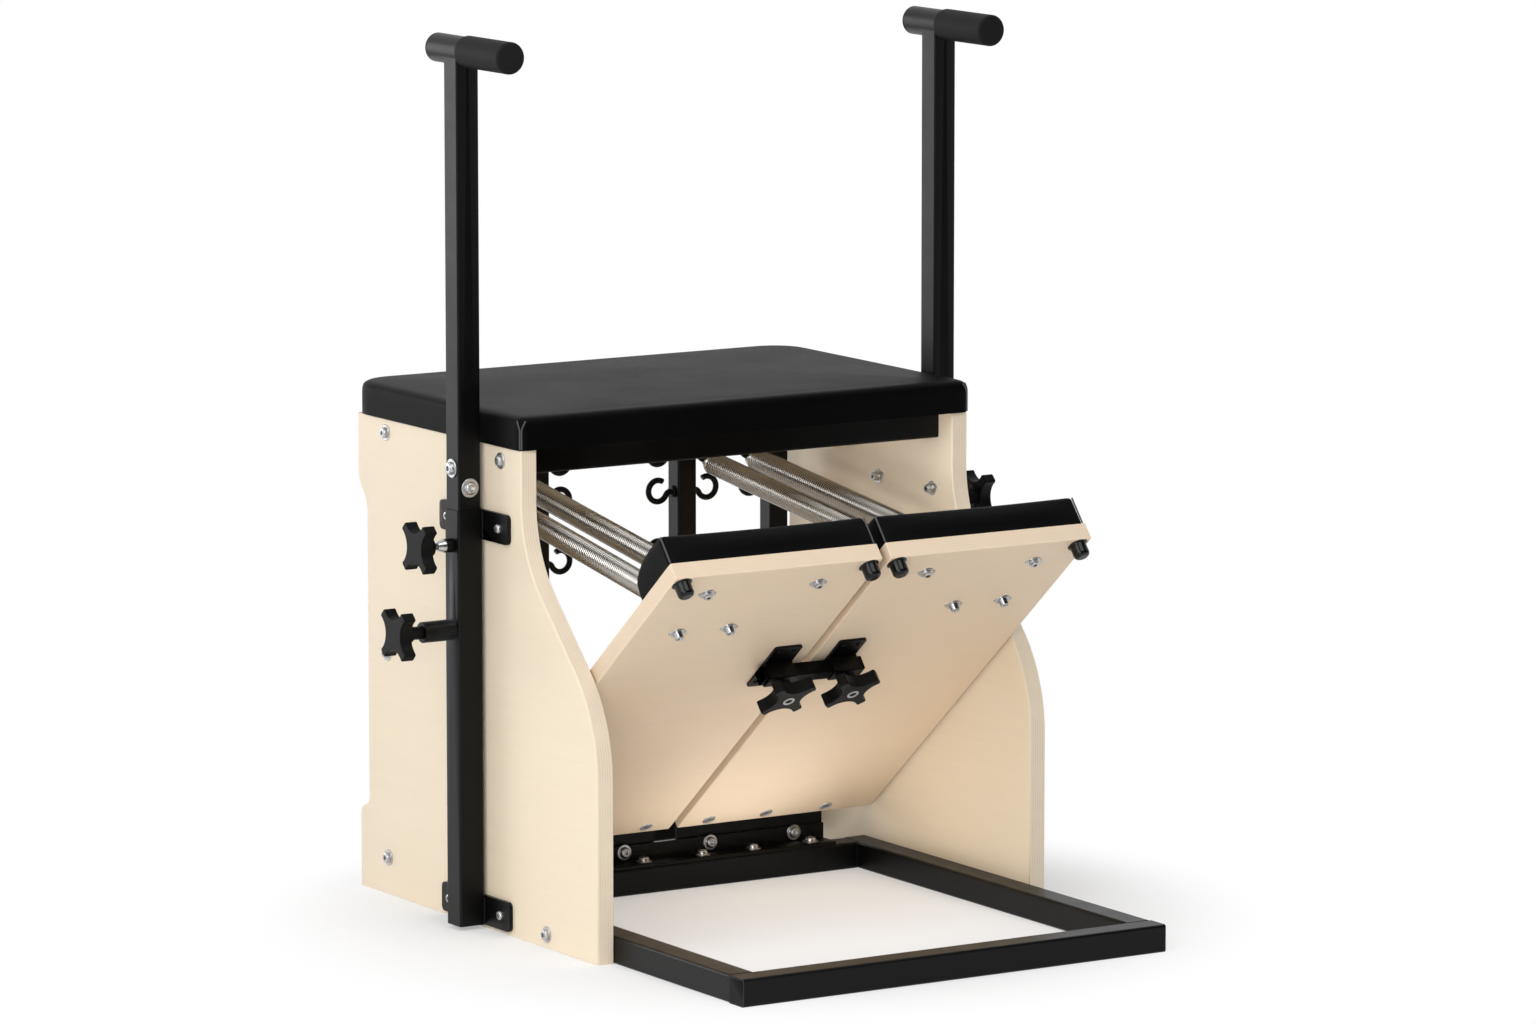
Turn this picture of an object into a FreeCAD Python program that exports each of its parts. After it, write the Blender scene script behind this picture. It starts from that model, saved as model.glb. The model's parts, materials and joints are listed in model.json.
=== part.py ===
import FreeCAD, Part
import math
import os

# Pilates chair: plywood sides, padded seat, two sprung pedals on one hinge line, two sliding handles.
# Millimetres. X runs to the right seen from the front, Y to the rear, Z up.
# The origin is on the floor under the middle of the chair.

V = FreeCAD.Vector
AXIS_X = V(1, 0, 0)
AXIS_Y = V(0, 1, 0)
AXIS_Z = V(0, 0, 1)
SIDES = (("left", -1), ("right", 1))

# Side panels
PANEL_THICK = 21.0
PANEL_HEIGHT = 560.0
PANEL_DEPTH = 541.0
PANEL_GAP = 559.0
PANEL_TOP_SETBACK = 166.0
FRONT_SLOPE = 45.0
LOWER_CURVE_R = 170.0
UPPER_CURVE_R = 140.0
TOP_STRAIGHT = 60.0
RELIEF_DEPTH = 20.0
RELIEF_FOOT = 86.0
RELIEF_FOOT_BLEND = 24.0
RELIEF_HEAD = 68.0
RELIEF_HEAD_BLEND = 45.0
PANEL_EASE = 1.5

# Square steel tube of the rails and the base frame
TUBE = 31.75
TUBE_WALL = 2.0
TUBE_CORNER = 3.0
FRONT_RAIL_BACK = 44.0
REAR_RAIL_INSET = 66.0
LOWER_RAIL_Z = 44.0
BASE_REACH = 275.0
CAP_DEPTH = 12.0
CAP_CLEAR = 0.1

# Seat
SEAT_BOARD_THICK = 12.0
SEAT_BOARD_INSET = 9.0
SEAT_PAD_THICK = 40.0
SEAT_PAD_CROWN = 5.0
SEAT_PAD_OVERHANG = 3.0
SEAT_REAR_OVERHANG = 22.0
SEAT_FRONT_CORNER = 8.0
SEAT_REAR_CORNER = 48.0
SOFT_CLEAR = 0.3

# Pedal hinge
HINGE_LINE_BACK = 349.0
ANGLE_HALF = 217.0
ANGLE_THICK = 4.0
ANGLE_RISE = 22.0
PIN_HEIGHT = 84.0
PIN_R = 3.0
PIN_CLEAR = 0.05
BARREL_R = 5.0
BARREL_CLEAR = 1.2
LEAF_THICK = 3.0
LEAF_WIDTH = 42.0
LEAF_END_INSET = 10.0
KNUCKLES = 5
KNUCKLE_GAP = 0.6

# Pedals, measured along the board from the hinge pin
PEDAL_THICK = 21.0
PEDAL_END = 604.0
PEDAL_REST = 39.7
PEDAL_GAP = 11.0
PEDAL_SIDE_CLEAR = 4.0
PEDAL_EASE = 1.5
PEDAL_PAD_LENGTH = 84.0
PEDAL_PAD_THICK = 34.0
PEDAL_PAD_CORNER = 7.0
BUMPER_R = 9.5
BUMPER_FLANGE_R = 12.0
BUMPER_FLANGE = 2.0
BUMPER_HEIGHT = 17.0
BUMPER_NOSE = 5.0
BUMPER_FROM_END = 12.0
BUMPER_FROM_SIDE = 13.0
BUMPER_STOP_CLEAR = 0.6
HINGE_BOLT_AT = 19.0
HINGE_BOLT_R = 8.0
HINGE_BOLT_RISE = 1.2
HINGE_BOLTS_X = (43.0, 122.0, 205.0)
PAD_BOLT_FROM_END = 40.0
PAD_BOLTS_X = (72.0, 217.0)
EYE_FROM_PIN = 482.0
EYES_X = (150.0, 217.0)
EYE_RING_R = 11.0
EYE_WIRE_R = 3.0
EYE_SHANK_R = 4.0
EYE_HOLE_CLEAR = 0.1
EYE_COLLAR_R = 8.0
EYE_COLLAR_THICK = 3.0

# Springs and their posts
POST = 25.4
POST_WALL = 2.0
INNER_POST_X = 101.0
OUTER_POST_X = 229.0
STUB_Z = 286.0
HOOK_DROP = 69.0
HOOK_STEPS = (0.0, 44.5, 117.0)
HOOK_REACH = 34.0
HOOK_R = 12.7
HOOK_WIRE_R = 3.5
HOOK_NECK_R = 6.0
HOOK_STEM_DROP = 2.0
HOOK_OPEN_ANGLE = 60.0
HOOK_COLLAR_R = 7.0
HOOK_COLLAR = 3.0
COIL_OD = 27.5
COIL_WIRE = 4.0
COIL_TURNS = 16
END_FLANGE_R = 13.5
END_FLANGE_THICK = 4.0
END_STUB_LENGTH = 10.0
END_STUB_CLEAR = 0.6
REAR_EYE_R = 9.5
FRONT_EYE_R = 13.0
END_EYE_WIRE_R = 2.4
HOOK_PLAY = 0.6
FRONT_EYE_AHEAD = 3.0

# Pedal connector
PLATE_INNER_X = 25.0
PLATE_WIDTH = 36.0
PLATE_LENGTH = 83.0
PLATE_AT = 384.0
PLATE_THICK = 3.0
PLATE_CORNER = 3.0
GUIDE = 20.0
GUIDE_WALL = 1.5
BAR_CLEAR = 0.25
BAR_OVERHANG = 6.0
STUD_R = 4.0
STUD_CLEAR = 0.05
STUD_TIP_GAP = 0.3
STUD_NECK = 3.0

# Star knobs
STAR_R = 34.0
STAR_ARMS = 4
STAR_TIP_HALF = 6.5
STAR_TIP_CORNER = 2.5
STAR_WAIST = 17.0
STAR_THICK = 15.0
STAR_EASE = 1.2
STAR_HUB_R = 10.0
STAR_HUB = 8.0

# Masts and handles
MAST_BACK = 260.0
SLEEVE = 31.75
SLEEVE_WALL = 1.2
SLEEVE_BOTTOM = 5.0
SLEEVE_DROP = 76.0
SLIDE_CLEAR = 0.25
HANDLE_WALL = 2.0
HANDLE_CORNER = 2.0
HANDLE_BOTTOM = 185.0
HANDLE_TOP = 1005.0
BRACKET_THICK = 4.5
BRACKET_AHEAD = 72.0
BRACKET_BEHIND = 83.0
BRACKET_HEIGHT = 34.0
BRACKET_CORNER = 6.0
BRACKET_BOLT_INSET = 20.0
BRACKET_BOLT_R = 5.5
BRACKET_BOLT_SEAT = 2.0
BRACKET_NUT_R = 8.0
BRACKET_NUT_THICK = 1.5
BRACKET_NUT_END_R = 5.0
BRACKET_NUT_END = 4.5
BAR_R = 16.5
BAR_WALL = 2.5
BAR_AHEAD = 109.0
BAR_BEHIND = 50.0
GRIP_THICK = 1.6
GRIP_CLEAR = 0.1
GRIP_START = 17.0
GRIP_END_WALL = 3.0
GRIP_END_R = 3.0
PLUG_THICK = 3.0
STOP_BOLT_OUTER_RISE = 48.0
STOP_BOLT_FRONT_RISE = 26.0
STOP_WASHER_R = 11.0
INDEX_PITCH = 25.4
INDEX_HOLES = 6
INDEX_HOLE_R = 4.3

# Clamp knob and pull pin on each mast
CLAMP_DROP = 40.0
CLAMP_BOSS_R = 8.0
CLAMP_BOSS = 10.0
CLAMP_CONE = 9.0
CLAMP_CONE_TIP_R = 5.0
CLAMP_STUD_SHOWN = 7.0
PULL_DROP = 137.0
PULL_BARREL_R = 12.0
PULL_BARREL = 40.0
PULL_PIN_R = 4.0
PULL_NECK_R = 7.5
PULL_NECK = 14.0
PULL_TRAVEL = 8.0

# Bolts with washers
HEAD_R = 6.5
HEAD_TOP_R = 4.5
HEAD_HEIGHT = 4.5
WASHER_R = 9.5
WASHER_THICK = 1.5
ANGLE_BOLTS_X = (59.0, 175.0)
ANGLE_WASHER_R = 7.5
RAIL_BOLTS_X = (40.0, 110.0, 190.0)
BASE_BOLT_BACK = 112.0

# Places worked out from the sizes above
PANEL_FRONT_Y = (BASE_REACH - PANEL_DEPTH - SEAT_REAR_OVERHANG) / 2
PANEL_IN = PANEL_GAP / 2
PANEL_OUT = PANEL_IN + PANEL_THICK
PANEL_REAR_Y = PANEL_FRONT_Y + PANEL_DEPTH
SEAT_RAIL_Z = PANEL_HEIGHT - TUBE / 2
FRONT_RAIL_Y = PANEL_FRONT_Y + PANEL_TOP_SETBACK + FRONT_RAIL_BACK
REAR_RAIL_Y = PANEL_REAR_Y - REAR_RAIL_INSET
BASE_FRONT_Y = PANEL_FRONT_Y - BASE_REACH
HINGE_FACE_Y = PANEL_FRONT_Y + HINGE_LINE_BACK
PIN_Y = HINGE_FACE_Y + LEAF_THICK / 2
PIN = V(0, PIN_Y, PIN_HEIGHT)
PEDAL_IN = PEDAL_GAP / 2
PEDAL_OUT = PANEL_IN - PEDAL_SIDE_CLEAR
PEDAL_START = BARREL_R + BARREL_CLEAR
BOARD_TOP = -LEAF_THICK / 2
BOARD_UNDER = BOARD_TOP - PEDAL_THICK
EYE_RING_N = BOARD_TOP + EYE_COLLAR_THICK + EYE_WIRE_R / 2 + EYE_RING_R
GUIDE_N = BOARD_UNDER - PLATE_THICK - GUIDE / 2
MAST_X = PANEL_OUT + BRACKET_THICK + SLEEVE / 2
MAST_Y = PANEL_FRONT_Y + MAST_BACK
SLEEVE_FACE = MAST_X + SLEEVE / 2
HANDLE = SLEEVE - 2 * SLEEVE_WALL - 2 * SLIDE_CLEAR
HOOK_TOP_Z = PANEL_HEIGHT - HOOK_DROP
HOOK_WIRE_Z = HOOK_TOP_Z - HOOK_R
SLEEVE_TOP = PANEL_HEIGHT - SLEEVE_DROP
CLAMP_Z = SLEEVE_TOP - CLAMP_DROP
PULL_Z = SLEEVE_TOP - PULL_DROP


def pedal_point(x, along, out):
    """World place of a point on a resting pedal: along the board from the pin, and out of its plane."""
    a = math.radians(PEDAL_REST)
    return PIN + V(x, out * math.sin(a) - along * math.cos(a), out * math.cos(a) + along * math.sin(a))


def spring_line():
    """Rear end, direction and length of the springs, in the plane that they swing in."""
    rear = V(0, REAR_RAIL_Y, HOOK_WIRE_Z)
    front = pedal_point(0, EYE_FROM_PIN, EYE_RING_N + EYE_RING_R)
    span = front - rear
    length = span.Length
    return rear, span.multiply(1 / length), length


def export(name, shapes):
    """Write one node, a single solid or a group of separate solids."""
    group = shapes if isinstance(shapes, list) else [shapes]
    solids = [solid for shape in group for solid in shape.Solids]
    shape = solids[0] if len(solids) == 1 else Part.makeCompound(solids)
    if not shape.isValid():
        raise ValueError(name + " is not a valid solid")
    shape.exportStep("parts/" + name + ".step")


def mirrored(shape):
    """The same piece on the other side of the chair's middle plane."""
    return shape.mirror(V(0, 0, 0), AXIS_X)


def for_side(side, shape):
    """A piece that is modelled on the right side, for the given side."""
    return shape if side > 0 else mirrored(shape)


def box(x0, x1, y0, y1, z0, z1):
    return Part.makeBox(x1 - x0, y1 - y0, z1 - z0, V(x0, y0, z0))


def rounded_rectangle(width, height, radius, centre=V(0, 0, 0)):
    """Closed wire in the XY plane: a rectangle about the centre with round corners."""
    return corner_rectangle(-width / 2, width / 2, -height / 2, height / 2, (radius,) * 4, centre)


def corner_rectangle(x0, x1, y0, y1, radii, centre=V(0, 0, 0)):
    """Closed wire in the XY plane with one radius per corner, from the low corner counter-clockwise."""
    corners = ((x0, y0, 1, 1), (x1, y0, -1, 1), (x1, y1, -1, -1), (x0, y1, 1, -1))
    ends = []
    arcs = []
    for index, ((x, y, sx, sy), r) in enumerate(zip(corners, radii)):
        beside = V(x + sx * r, y, 0) + centre
        above = V(x, y + sy * r, 0) + centre
        short = r * (1 - math.sqrt(0.5))
        middle = V(x + sx * short, y + sy * short, 0) + centre
        first, last = (above, beside) if index % 2 == 0 else (beside, above)
        arcs.append(Part.Arc(first, middle, last).toShape())
        ends.append((first, last))
    edges = []
    for index, arc in enumerate(arcs):
        edges.append(arc)
        edges.append(Part.LineSegment(ends[index][1], ends[(index + 1) % 4][0]).toShape())
    return Part.Wire(edges)


def square_tube(size, wall, corner, length):
    """Square tube along +Z from the origin, open at both ends."""
    bore = size - 2 * wall
    outer = Part.Face(rounded_rectangle(size, size, corner)).extrude(V(0, 0, length))
    inner = Part.Face(rounded_rectangle(bore, bore, max(corner - wall, 0.5))).extrude(V(0, 0, length))
    return outer.cut(inner)


def tube_between(start, end, size=TUBE, wall=TUBE_WALL, corner=TUBE_CORNER):
    """Square tube from one point to another along X, Y or Z, about that line."""
    span = end - start
    tube = square_tube(size, wall, corner, span.Length)
    tube.Placement = FreeCAD.Placement(start, FreeCAD.Rotation(AXIS_Z, span))
    return tube


def round_bar(start, end, radius):
    span = end - start
    return Part.makeCylinder(radius, span.Length, start, span)


def bolt(place, outward, washer_r=WASHER_R):
    """Domed bolt head on a washer, seated at a place and pointing out of the face there."""
    washer = Part.makeCylinder(washer_r, WASHER_THICK, place, outward)
    seat = place + outward * WASHER_THICK
    head = Part.makeCone(HEAD_R, HEAD_TOP_R, HEAD_HEIGHT, seat, outward)
    return washer.fuse(head).removeSplitter()


def arc_from(start, tangent, end):
    """Circular edge from a start with its tangent to an end."""
    chord = end - start
    along = V(chord).normalize()
    across = tangent - along * tangent.dot(along)
    if across.Length < 1e-9:
        return Part.LineSegment(start, end).toShape()
    across.normalize()
    half_turn = V(tangent).normalize().getAngle(along)
    middle = (start + end) * 0.5 + across * (chord.Length / 2 * math.tan(half_turn / 2))
    return Part.Arc(start, middle, end).toShape()


def wire_rod(edges, radius, tangent):
    """Round wire of the given radius along joined edges."""
    path = Part.Wire(edges)
    ring = Part.Circle(path.OrderedVertexes[0].Point, tangent, radius).toShape()
    return path.makePipeShell([Part.Wire(ring)], True, False)


def panel_outline():
    """Side view of a panel: curved front, flat top, relieved rear edge."""
    a = math.radians(FRONT_SLOPE)
    spread = 1 - math.cos(a)
    run = (PANEL_TOP_SETBACK - (LOWER_CURVE_R + UPPER_CURVE_R) * spread) / math.sin(a)
    upper_end = V(0, PANEL_FRONT_Y + PANEL_TOP_SETBACK, PANEL_HEIGHT - TOP_STRAIGHT)
    upper_start = upper_end - V(0, UPPER_CURVE_R * spread, UPPER_CURVE_R * math.sin(a))
    lower_end = upper_start - V(0, run * math.sin(a), run * math.cos(a))
    lower_start = lower_end - V(0, LOWER_CURVE_R * spread, LOWER_CURVE_R * math.sin(a))
    slope = V(0, math.sin(a), math.cos(a))
    front_foot = V(0, PANEL_FRONT_Y, 0)
    front_top = V(0, PANEL_FRONT_Y + PANEL_TOP_SETBACK, PANEL_HEIGHT)
    rear_top = V(0, PANEL_REAR_Y, PANEL_HEIGHT)
    head = V(0, PANEL_REAR_Y, PANEL_HEIGHT - RELIEF_HEAD)
    head_in = head - V(0, RELIEF_DEPTH, RELIEF_HEAD_BLEND)
    foot = V(0, PANEL_REAR_Y, RELIEF_FOOT)
    foot_in = foot + V(0, -RELIEF_DEPTH, RELIEF_FOOT_BLEND)
    rear_foot = V(0, PANEL_REAR_Y, 0)
    down = V(0, 0, -1)
    edges = [
        Part.LineSegment(front_foot, lower_start).toShape(),
        arc_from(lower_start, AXIS_Z, lower_end),
        Part.LineSegment(lower_end, upper_start).toShape(),
        arc_from(upper_start, slope, upper_end),
        Part.LineSegment(upper_end, front_top).toShape(),
        Part.LineSegment(front_top, rear_top).toShape(),
        Part.LineSegment(rear_top, head).toShape(),
    ]
    edges += s_bend(head, down, head_in)
    edges.append(Part.LineSegment(head_in, foot_in).toShape())
    edges += s_bend(foot_in, down, foot)
    edges.append(Part.LineSegment(foot, rear_foot).toShape())
    edges.append(Part.LineSegment(rear_foot, front_foot).toShape())
    return Part.Wire(edges)


def s_bend(start, tangent, end):
    """Two equal arcs that leave and arrive along the same direction."""
    middle = (start + end) * 0.5
    first = arc_from(start, tangent, middle)
    second = arc_from(end, tangent * -1, middle)
    return [first, second]


def side_panel():
    """Right side panel with eased edges on both faces."""
    sheet = Part.Face(panel_outline()).extrude(V(PANEL_THICK, 0, 0))
    sheet.translate(V(PANEL_IN, 0, 0))
    rims = [edge for edge in sheet.Edges if edge.BoundBox.XLength < PANEL_EASE]
    return sheet.makeFillet(PANEL_EASE, rims)


def seat_outline(inset, z):
    """Plan of the seat pad: nearly square front corners, round rear corners."""
    half = PANEL_OUT + SEAT_PAD_OVERHANG - inset
    front = PANEL_FRONT_Y + PANEL_TOP_SETBACK - SEAT_PAD_OVERHANG + inset
    rear = PANEL_REAR_Y + SEAT_REAR_OVERHANG - inset
    front_r = max(SEAT_FRONT_CORNER - inset / 2, 2)
    rear_r = SEAT_REAR_CORNER - inset / 2
    return corner_rectangle(-half, half, front, rear, (front_r, front_r, rear_r, rear_r), V(0, 0, z))


def seat_board():
    bottom = PANEL_HEIGHT
    return Part.Face(seat_outline(SEAT_BOARD_INSET, bottom)).extrude(V(0, 0, SEAT_BOARD_THICK))


def seat_pad():
    """Crowned pad whose sides swell between the board's edge and the top, hollow below for the board."""
    bottom = PANEL_HEIGHT + SOFT_CLEAR
    levels = ((3.0, 0.0), (0.0, 0.4), (2.0, 0.72), (8.0, 0.92), (18.0, 1.0))
    rims = [seat_outline(inset, bottom + share * SEAT_PAD_THICK) for inset, share in levels]
    sides = Part.makeLoft(rims, True, False)
    half_depth = (PANEL_DEPTH - PANEL_TOP_SETBACK + SEAT_REAR_OVERHANG) / 2
    dome_r = (half_depth ** 2 + SEAT_PAD_CROWN ** 2) / (2 * SEAT_PAD_CROWN)
    top = bottom + SEAT_PAD_THICK
    middle = PANEL_REAR_Y + SEAT_REAR_OVERHANG - half_depth
    width = 2 * (PANEL_OUT + SEAT_PAD_OVERHANG)
    dome = Part.makeCylinder(dome_r, width, V(-width / 2, middle, top - dome_r), AXIS_X)
    pocket = Part.Face(seat_outline(SEAT_BOARD_INSET - SOFT_CLEAR, PANEL_HEIGHT))
    pocket = pocket.extrude(V(0, 0, SEAT_BOARD_THICK + SOFT_CLEAR))
    return sides.common(dome).cut(pocket)


def cross_rail(y, z):
    """Square tube between the panels' inner faces."""
    return tube_between(V(-PANEL_IN, y, z), V(PANEL_IN, y, z))


def base_side_rail():
    """Right side rail of the base, from the front rail to the hinge rail's rear face."""
    x = PANEL_IN - TUBE / 2
    return tube_between(V(x, BASE_FRONT_Y + TUBE, TUBE / 2), V(x, HINGE_FACE_Y, TUBE / 2))


def hinge_rail():
    half = PANEL_IN - TUBE
    y = HINGE_FACE_Y - TUBE / 2
    return tube_between(V(-half, y, TUBE / 2), V(half, y, TUBE / 2))


def front_rail_cap():
    """Plug in the right end of the front rail, flush with the tube's end."""
    bore = TUBE - 2 * TUBE_WALL - 2 * CAP_CLEAR
    profile = Part.Face(rounded_rectangle(bore, bore, TUBE_CORNER - TUBE_WALL)).extrude(V(0, 0, CAP_DEPTH))
    profile.Placement = FreeCAD.Placement(
        V(PANEL_IN - CAP_DEPTH, BASE_FRONT_Y + TUBE / 2, TUBE / 2), FreeCAD.Rotation(AXIS_Z, AXIS_X))
    return profile


def hinge_angle():
    """Steel angle on the hinge rail, its upright flange flush with the rail's rear face."""
    top = TUBE + ANGLE_RISE
    foot = box(-ANGLE_HALF, ANGLE_HALF, HINGE_FACE_Y - TUBE, HINGE_FACE_Y, TUBE, TUBE + ANGLE_THICK)
    flange = box(-ANGLE_HALF, ANGLE_HALF, HINGE_FACE_Y - ANGLE_THICK, HINGE_FACE_Y, TUBE, top)
    return foot.fuse(flange).removeSplitter()


def leaf_span():
    """Inner and outer end of a hinge leaf on the right side."""
    return PEDAL_IN + LEAF_END_INSET, ANGLE_HALF


def knuckle_spans(parity):
    """X spans of every second knuckle."""
    start, end = leaf_span()
    step = (end - start) / KNUCKLES
    return [(start + i * step + KNUCKLE_GAP / 2, start + (i + 1) * step - KNUCKLE_GAP / 2)
            for i in range(KNUCKLES) if i % 2 == parity]


def hinge_leaf(parity):
    """Leaf flat along -Y from the pin, with its knuckles bored for the pin. The pin is at the origin."""
    start, end = leaf_span()
    half = LEAF_THICK / 2
    leaf = box(start, end, -LEAF_WIDTH, -PEDAL_START, -half, half)
    bores = []
    for x0, x1 in knuckle_spans(parity):
        web = box(x0, x1, -PEDAL_START, 0, -half, half)
        barrel = Part.makeCylinder(BARREL_R, x1 - x0, V(x0, 0, 0), AXIS_X)
        leaf = leaf.fuse(web).fuse(barrel)
        bores.append(Part.makeCylinder(PIN_R + PIN_CLEAR, x1 - x0, V(x0, 0, 0), AXIS_X))
    return leaf.removeSplitter().cut(Part.makeCompound(bores))


def fixed_leaf():
    """Right fixed leaf: hangs from the pin against the angle's rear face."""
    leaf = hinge_leaf(0)
    leaf.rotate(V(0, 0, 0), AXIS_X, 90)
    leaf.translate(PIN)
    return leaf


def hinge_pin():
    start, end = leaf_span()
    return round_bar(PIN + V(start, 0, 0), PIN + V(end, 0, 0), PIN_R)


def on_pedal(shape):
    """Turn a piece made flat, with the board along -Y from the pin, to the resting pedal."""
    shape.rotate(V(0, 0, 0), AXIS_X, -PEDAL_REST)
    shape.translate(PIN)
    return shape


def pedal_board():
    """Right pedal board with holes for the spring eyes."""
    board = box(PEDAL_IN, PEDAL_OUT, -PEDAL_END, -PEDAL_START, BOARD_UNDER, BOARD_TOP)
    board = board.makeFillet(PEDAL_EASE, board.Edges)
    for x in EYES_X:
        hole_r = EYE_SHANK_R + EYE_HOLE_CLEAR
        board = board.cut(Part.makeCylinder(hole_r, PEDAL_THICK, V(x, -EYE_FROM_PIN, BOARD_UNDER)))
    return on_pedal(board)


def pedal_pad():
    """Right pedal pad: crowned, its sides swelling between the board and the top."""
    bottom = BOARD_TOP + SOFT_CLEAR
    levels = ((1.5, 0.0), (0.0, 0.4), (1.5, 0.75), (5.0, 0.93), (11.0, 1.0))
    rims = []
    for inset, share in levels:
        rims.append(corner_rectangle(
            PEDAL_IN + inset, PEDAL_OUT - inset, -PEDAL_END + inset, -PEDAL_END + PEDAL_PAD_LENGTH - inset,
            (PEDAL_PAD_CORNER,) * 4, V(0, 0, bottom + share * PEDAL_PAD_THICK)))
    return on_pedal(Part.makeLoft(rims, True, False))


def moving_leaf():
    return on_pedal(hinge_leaf(1))


def bumpers():
    """Rubber bumpers under the right pedal's front corners: a thin flange and a round-nosed body."""
    flat = V(BUMPER_R - BUMPER_NOSE, 0, -BUMPER_HEIGHT)
    round_start = V(BUMPER_R, 0, BUMPER_NOSE - BUMPER_HEIGHT)
    short = BUMPER_NOSE * (1 - math.sqrt(0.5))
    round_middle = V(BUMPER_R - short, 0, short - BUMPER_HEIGHT)
    corners = [V(0, 0, 0), V(BUMPER_FLANGE_R, 0, 0), V(BUMPER_R, 0, -BUMPER_FLANGE), round_start]
    edges = [Part.LineSegment(a, b).toShape() for a, b in zip(corners, corners[1:])]
    edges.append(Part.Arc(round_start, round_middle, flat).toShape())
    edges.append(Part.LineSegment(flat, V(0, 0, -BUMPER_HEIGHT)).toShape())
    edges.append(Part.LineSegment(V(0, 0, -BUMPER_HEIGHT), V(0, 0, 0)).toShape())
    profile = Part.Face(Part.Wire(edges))
    made = []
    for x in (PEDAL_IN + BUMPER_FROM_SIDE, PEDAL_OUT - BUMPER_FROM_SIDE):
        body = profile.revolve(V(0, 0, 0), AXIS_Z, 360)
        body.translate(V(x, -PEDAL_END + BUMPER_FROM_END, BOARD_UNDER))
        made.append(on_pedal(body))
    return made


def pedal_bolts():
    """Fasteners under the right pedal: flat ones for the hinge leaf, bolts for the pad."""
    down = V(0, 0, -1)
    made = []
    for x in HINGE_BOLTS_X:
        place = V(x, -HINGE_BOLT_AT, BOARD_UNDER)
        made.append(on_pedal(Part.makeCylinder(HINGE_BOLT_R, HINGE_BOLT_RISE, place, down)))
    for x in PAD_BOLTS_X:
        made.append(on_pedal(bolt(V(x, PAD_BOLT_FROM_END - PEDAL_END, BOARD_UNDER), down)))
    return made


def spring_eyes():
    """Eye bolts through the right pedal: ring above, nut and washer below."""
    made = []
    for x in EYES_X:
        top = V(x, -EYE_FROM_PIN, BOARD_TOP)
        under = V(x, -EYE_FROM_PIN, BOARD_UNDER)
        shank = round_bar(under, top, EYE_SHANK_R)
        collar = Part.makeCylinder(EYE_COLLAR_R, EYE_COLLAR_THICK, top)
        ring = Part.makeTorus(EYE_RING_R, EYE_WIRE_R, V(x, -EYE_FROM_PIN, EYE_RING_N), AXIS_Y)
        nut = bolt(under, V(0, 0, -1))
        made.append(on_pedal(shank.fuse(collar).fuse(nut).fuse(ring)))
    return made


def spring_post(x, y, foot, head):
    return tube_between(V(x, y, foot), V(x, y, head), POST, POST_WALL)


def post_heights():
    """Foot and head of the spring posts, between the lower rail and the rear seat rail."""
    return LOWER_RAIL_Z + TUBE / 2, PANEL_HEIGHT - TUBE


def inner_post():
    foot, head = post_heights()
    return spring_post(INNER_POST_X, REAR_RAIL_Y, foot, head)


def outer_post():
    """Right outer post with the short tube that ties it to the panel."""
    foot, head = post_heights()
    face = OUTER_POST_X + POST / 2
    stub = tube_between(V(face, REAR_RAIL_Y, STUB_Z), V(PANEL_IN, REAR_RAIL_Y, STUB_Z), POST, POST_WALL)
    return spring_post(OUTER_POST_X, REAR_RAIL_Y, foot, head).fuse(stub).removeSplitter()


def spring_hook(post_x, side, z):
    """Open wire hook on one side of a post: stem, neck and a ring that opens towards the post."""
    rise = -HOOK_STEM_DROP
    neck_z = rise - HOOK_NECK_R
    neck_x = math.sqrt((HOOK_R + HOOK_NECK_R) ** 2 - neck_z ** 2)
    touch = V(neck_x, 0, neck_z) * (HOOK_R / (HOOK_R + HOOK_NECK_R))
    root = V(HOOK_REACH - POST / 2, 0, rise)
    neck = V(neck_x, 0, rise)
    far = V(-HOOK_R, 0, 0)
    tip = V(math.cos(math.radians(HOOK_OPEN_ANGLE)), 0, math.sin(math.radians(HOOK_OPEN_ANGLE))) * HOOK_R
    edges = [Part.LineSegment(root, neck).toShape(), arc_from(neck, V(-1, 0, 0), touch),
             Part.Arc(touch, far, tip).toShape()]
    hook = wire_rod(edges, HOOK_WIRE_R, V(-1, 0, 0))
    hook = hook.fuse(Part.makeCylinder(HOOK_COLLAR_R, HOOK_COLLAR, root, V(-1, 0, 0))).removeSplitter()
    if side > 0:
        hook = mirrored(hook)
    hook.translate(V(post_x + side * HOOK_REACH, REAR_RAIL_Y, z))
    return hook


def spring_hooks():
    """Hooks on both sides of the inner posts and on the inner side of the outer posts."""
    made = []
    for step in HOOK_STEPS:
        z = HOOK_TOP_Z - step
        for post_x, side in ((INNER_POST_X, -1), (INNER_POST_X, 1), (OUTER_POST_X, -1)):
            hook = spring_hook(post_x, side, z)
            made += [hook, mirrored(hook)]
    return made


def spring_frame(hook_x, eye_x):
    """Placement of a spring made along +Z from its hook's wire, its eyes in a plane across X."""
    rear, heading, length = spring_line()
    aim = heading * length + V(eye_x - hook_x, 0, 0)
    turn = FreeCAD.Rotation(AXIS_X, V(0, 0, 0), aim, "ZXY")
    return FreeCAD.Placement(rear + V(hook_x, 0, 0), turn), aim.Length


def springs():
    """Hook and eye places of the right pedal's two springs, the inner one first."""
    hooks = (INNER_POST_X + HOOK_REACH, OUTER_POST_X - HOOK_REACH)
    return list(zip(hooks, EYES_X))


def rear_end_length():
    """From the hook's wire to the rear flange's inner face."""
    eye_offset = REAR_EYE_R - END_EYE_WIRE_R - HOOK_WIRE_R - HOOK_PLAY
    return eye_offset + REAR_EYE_R + END_EYE_WIRE_R / 2 + END_FLANGE_THICK


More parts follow.
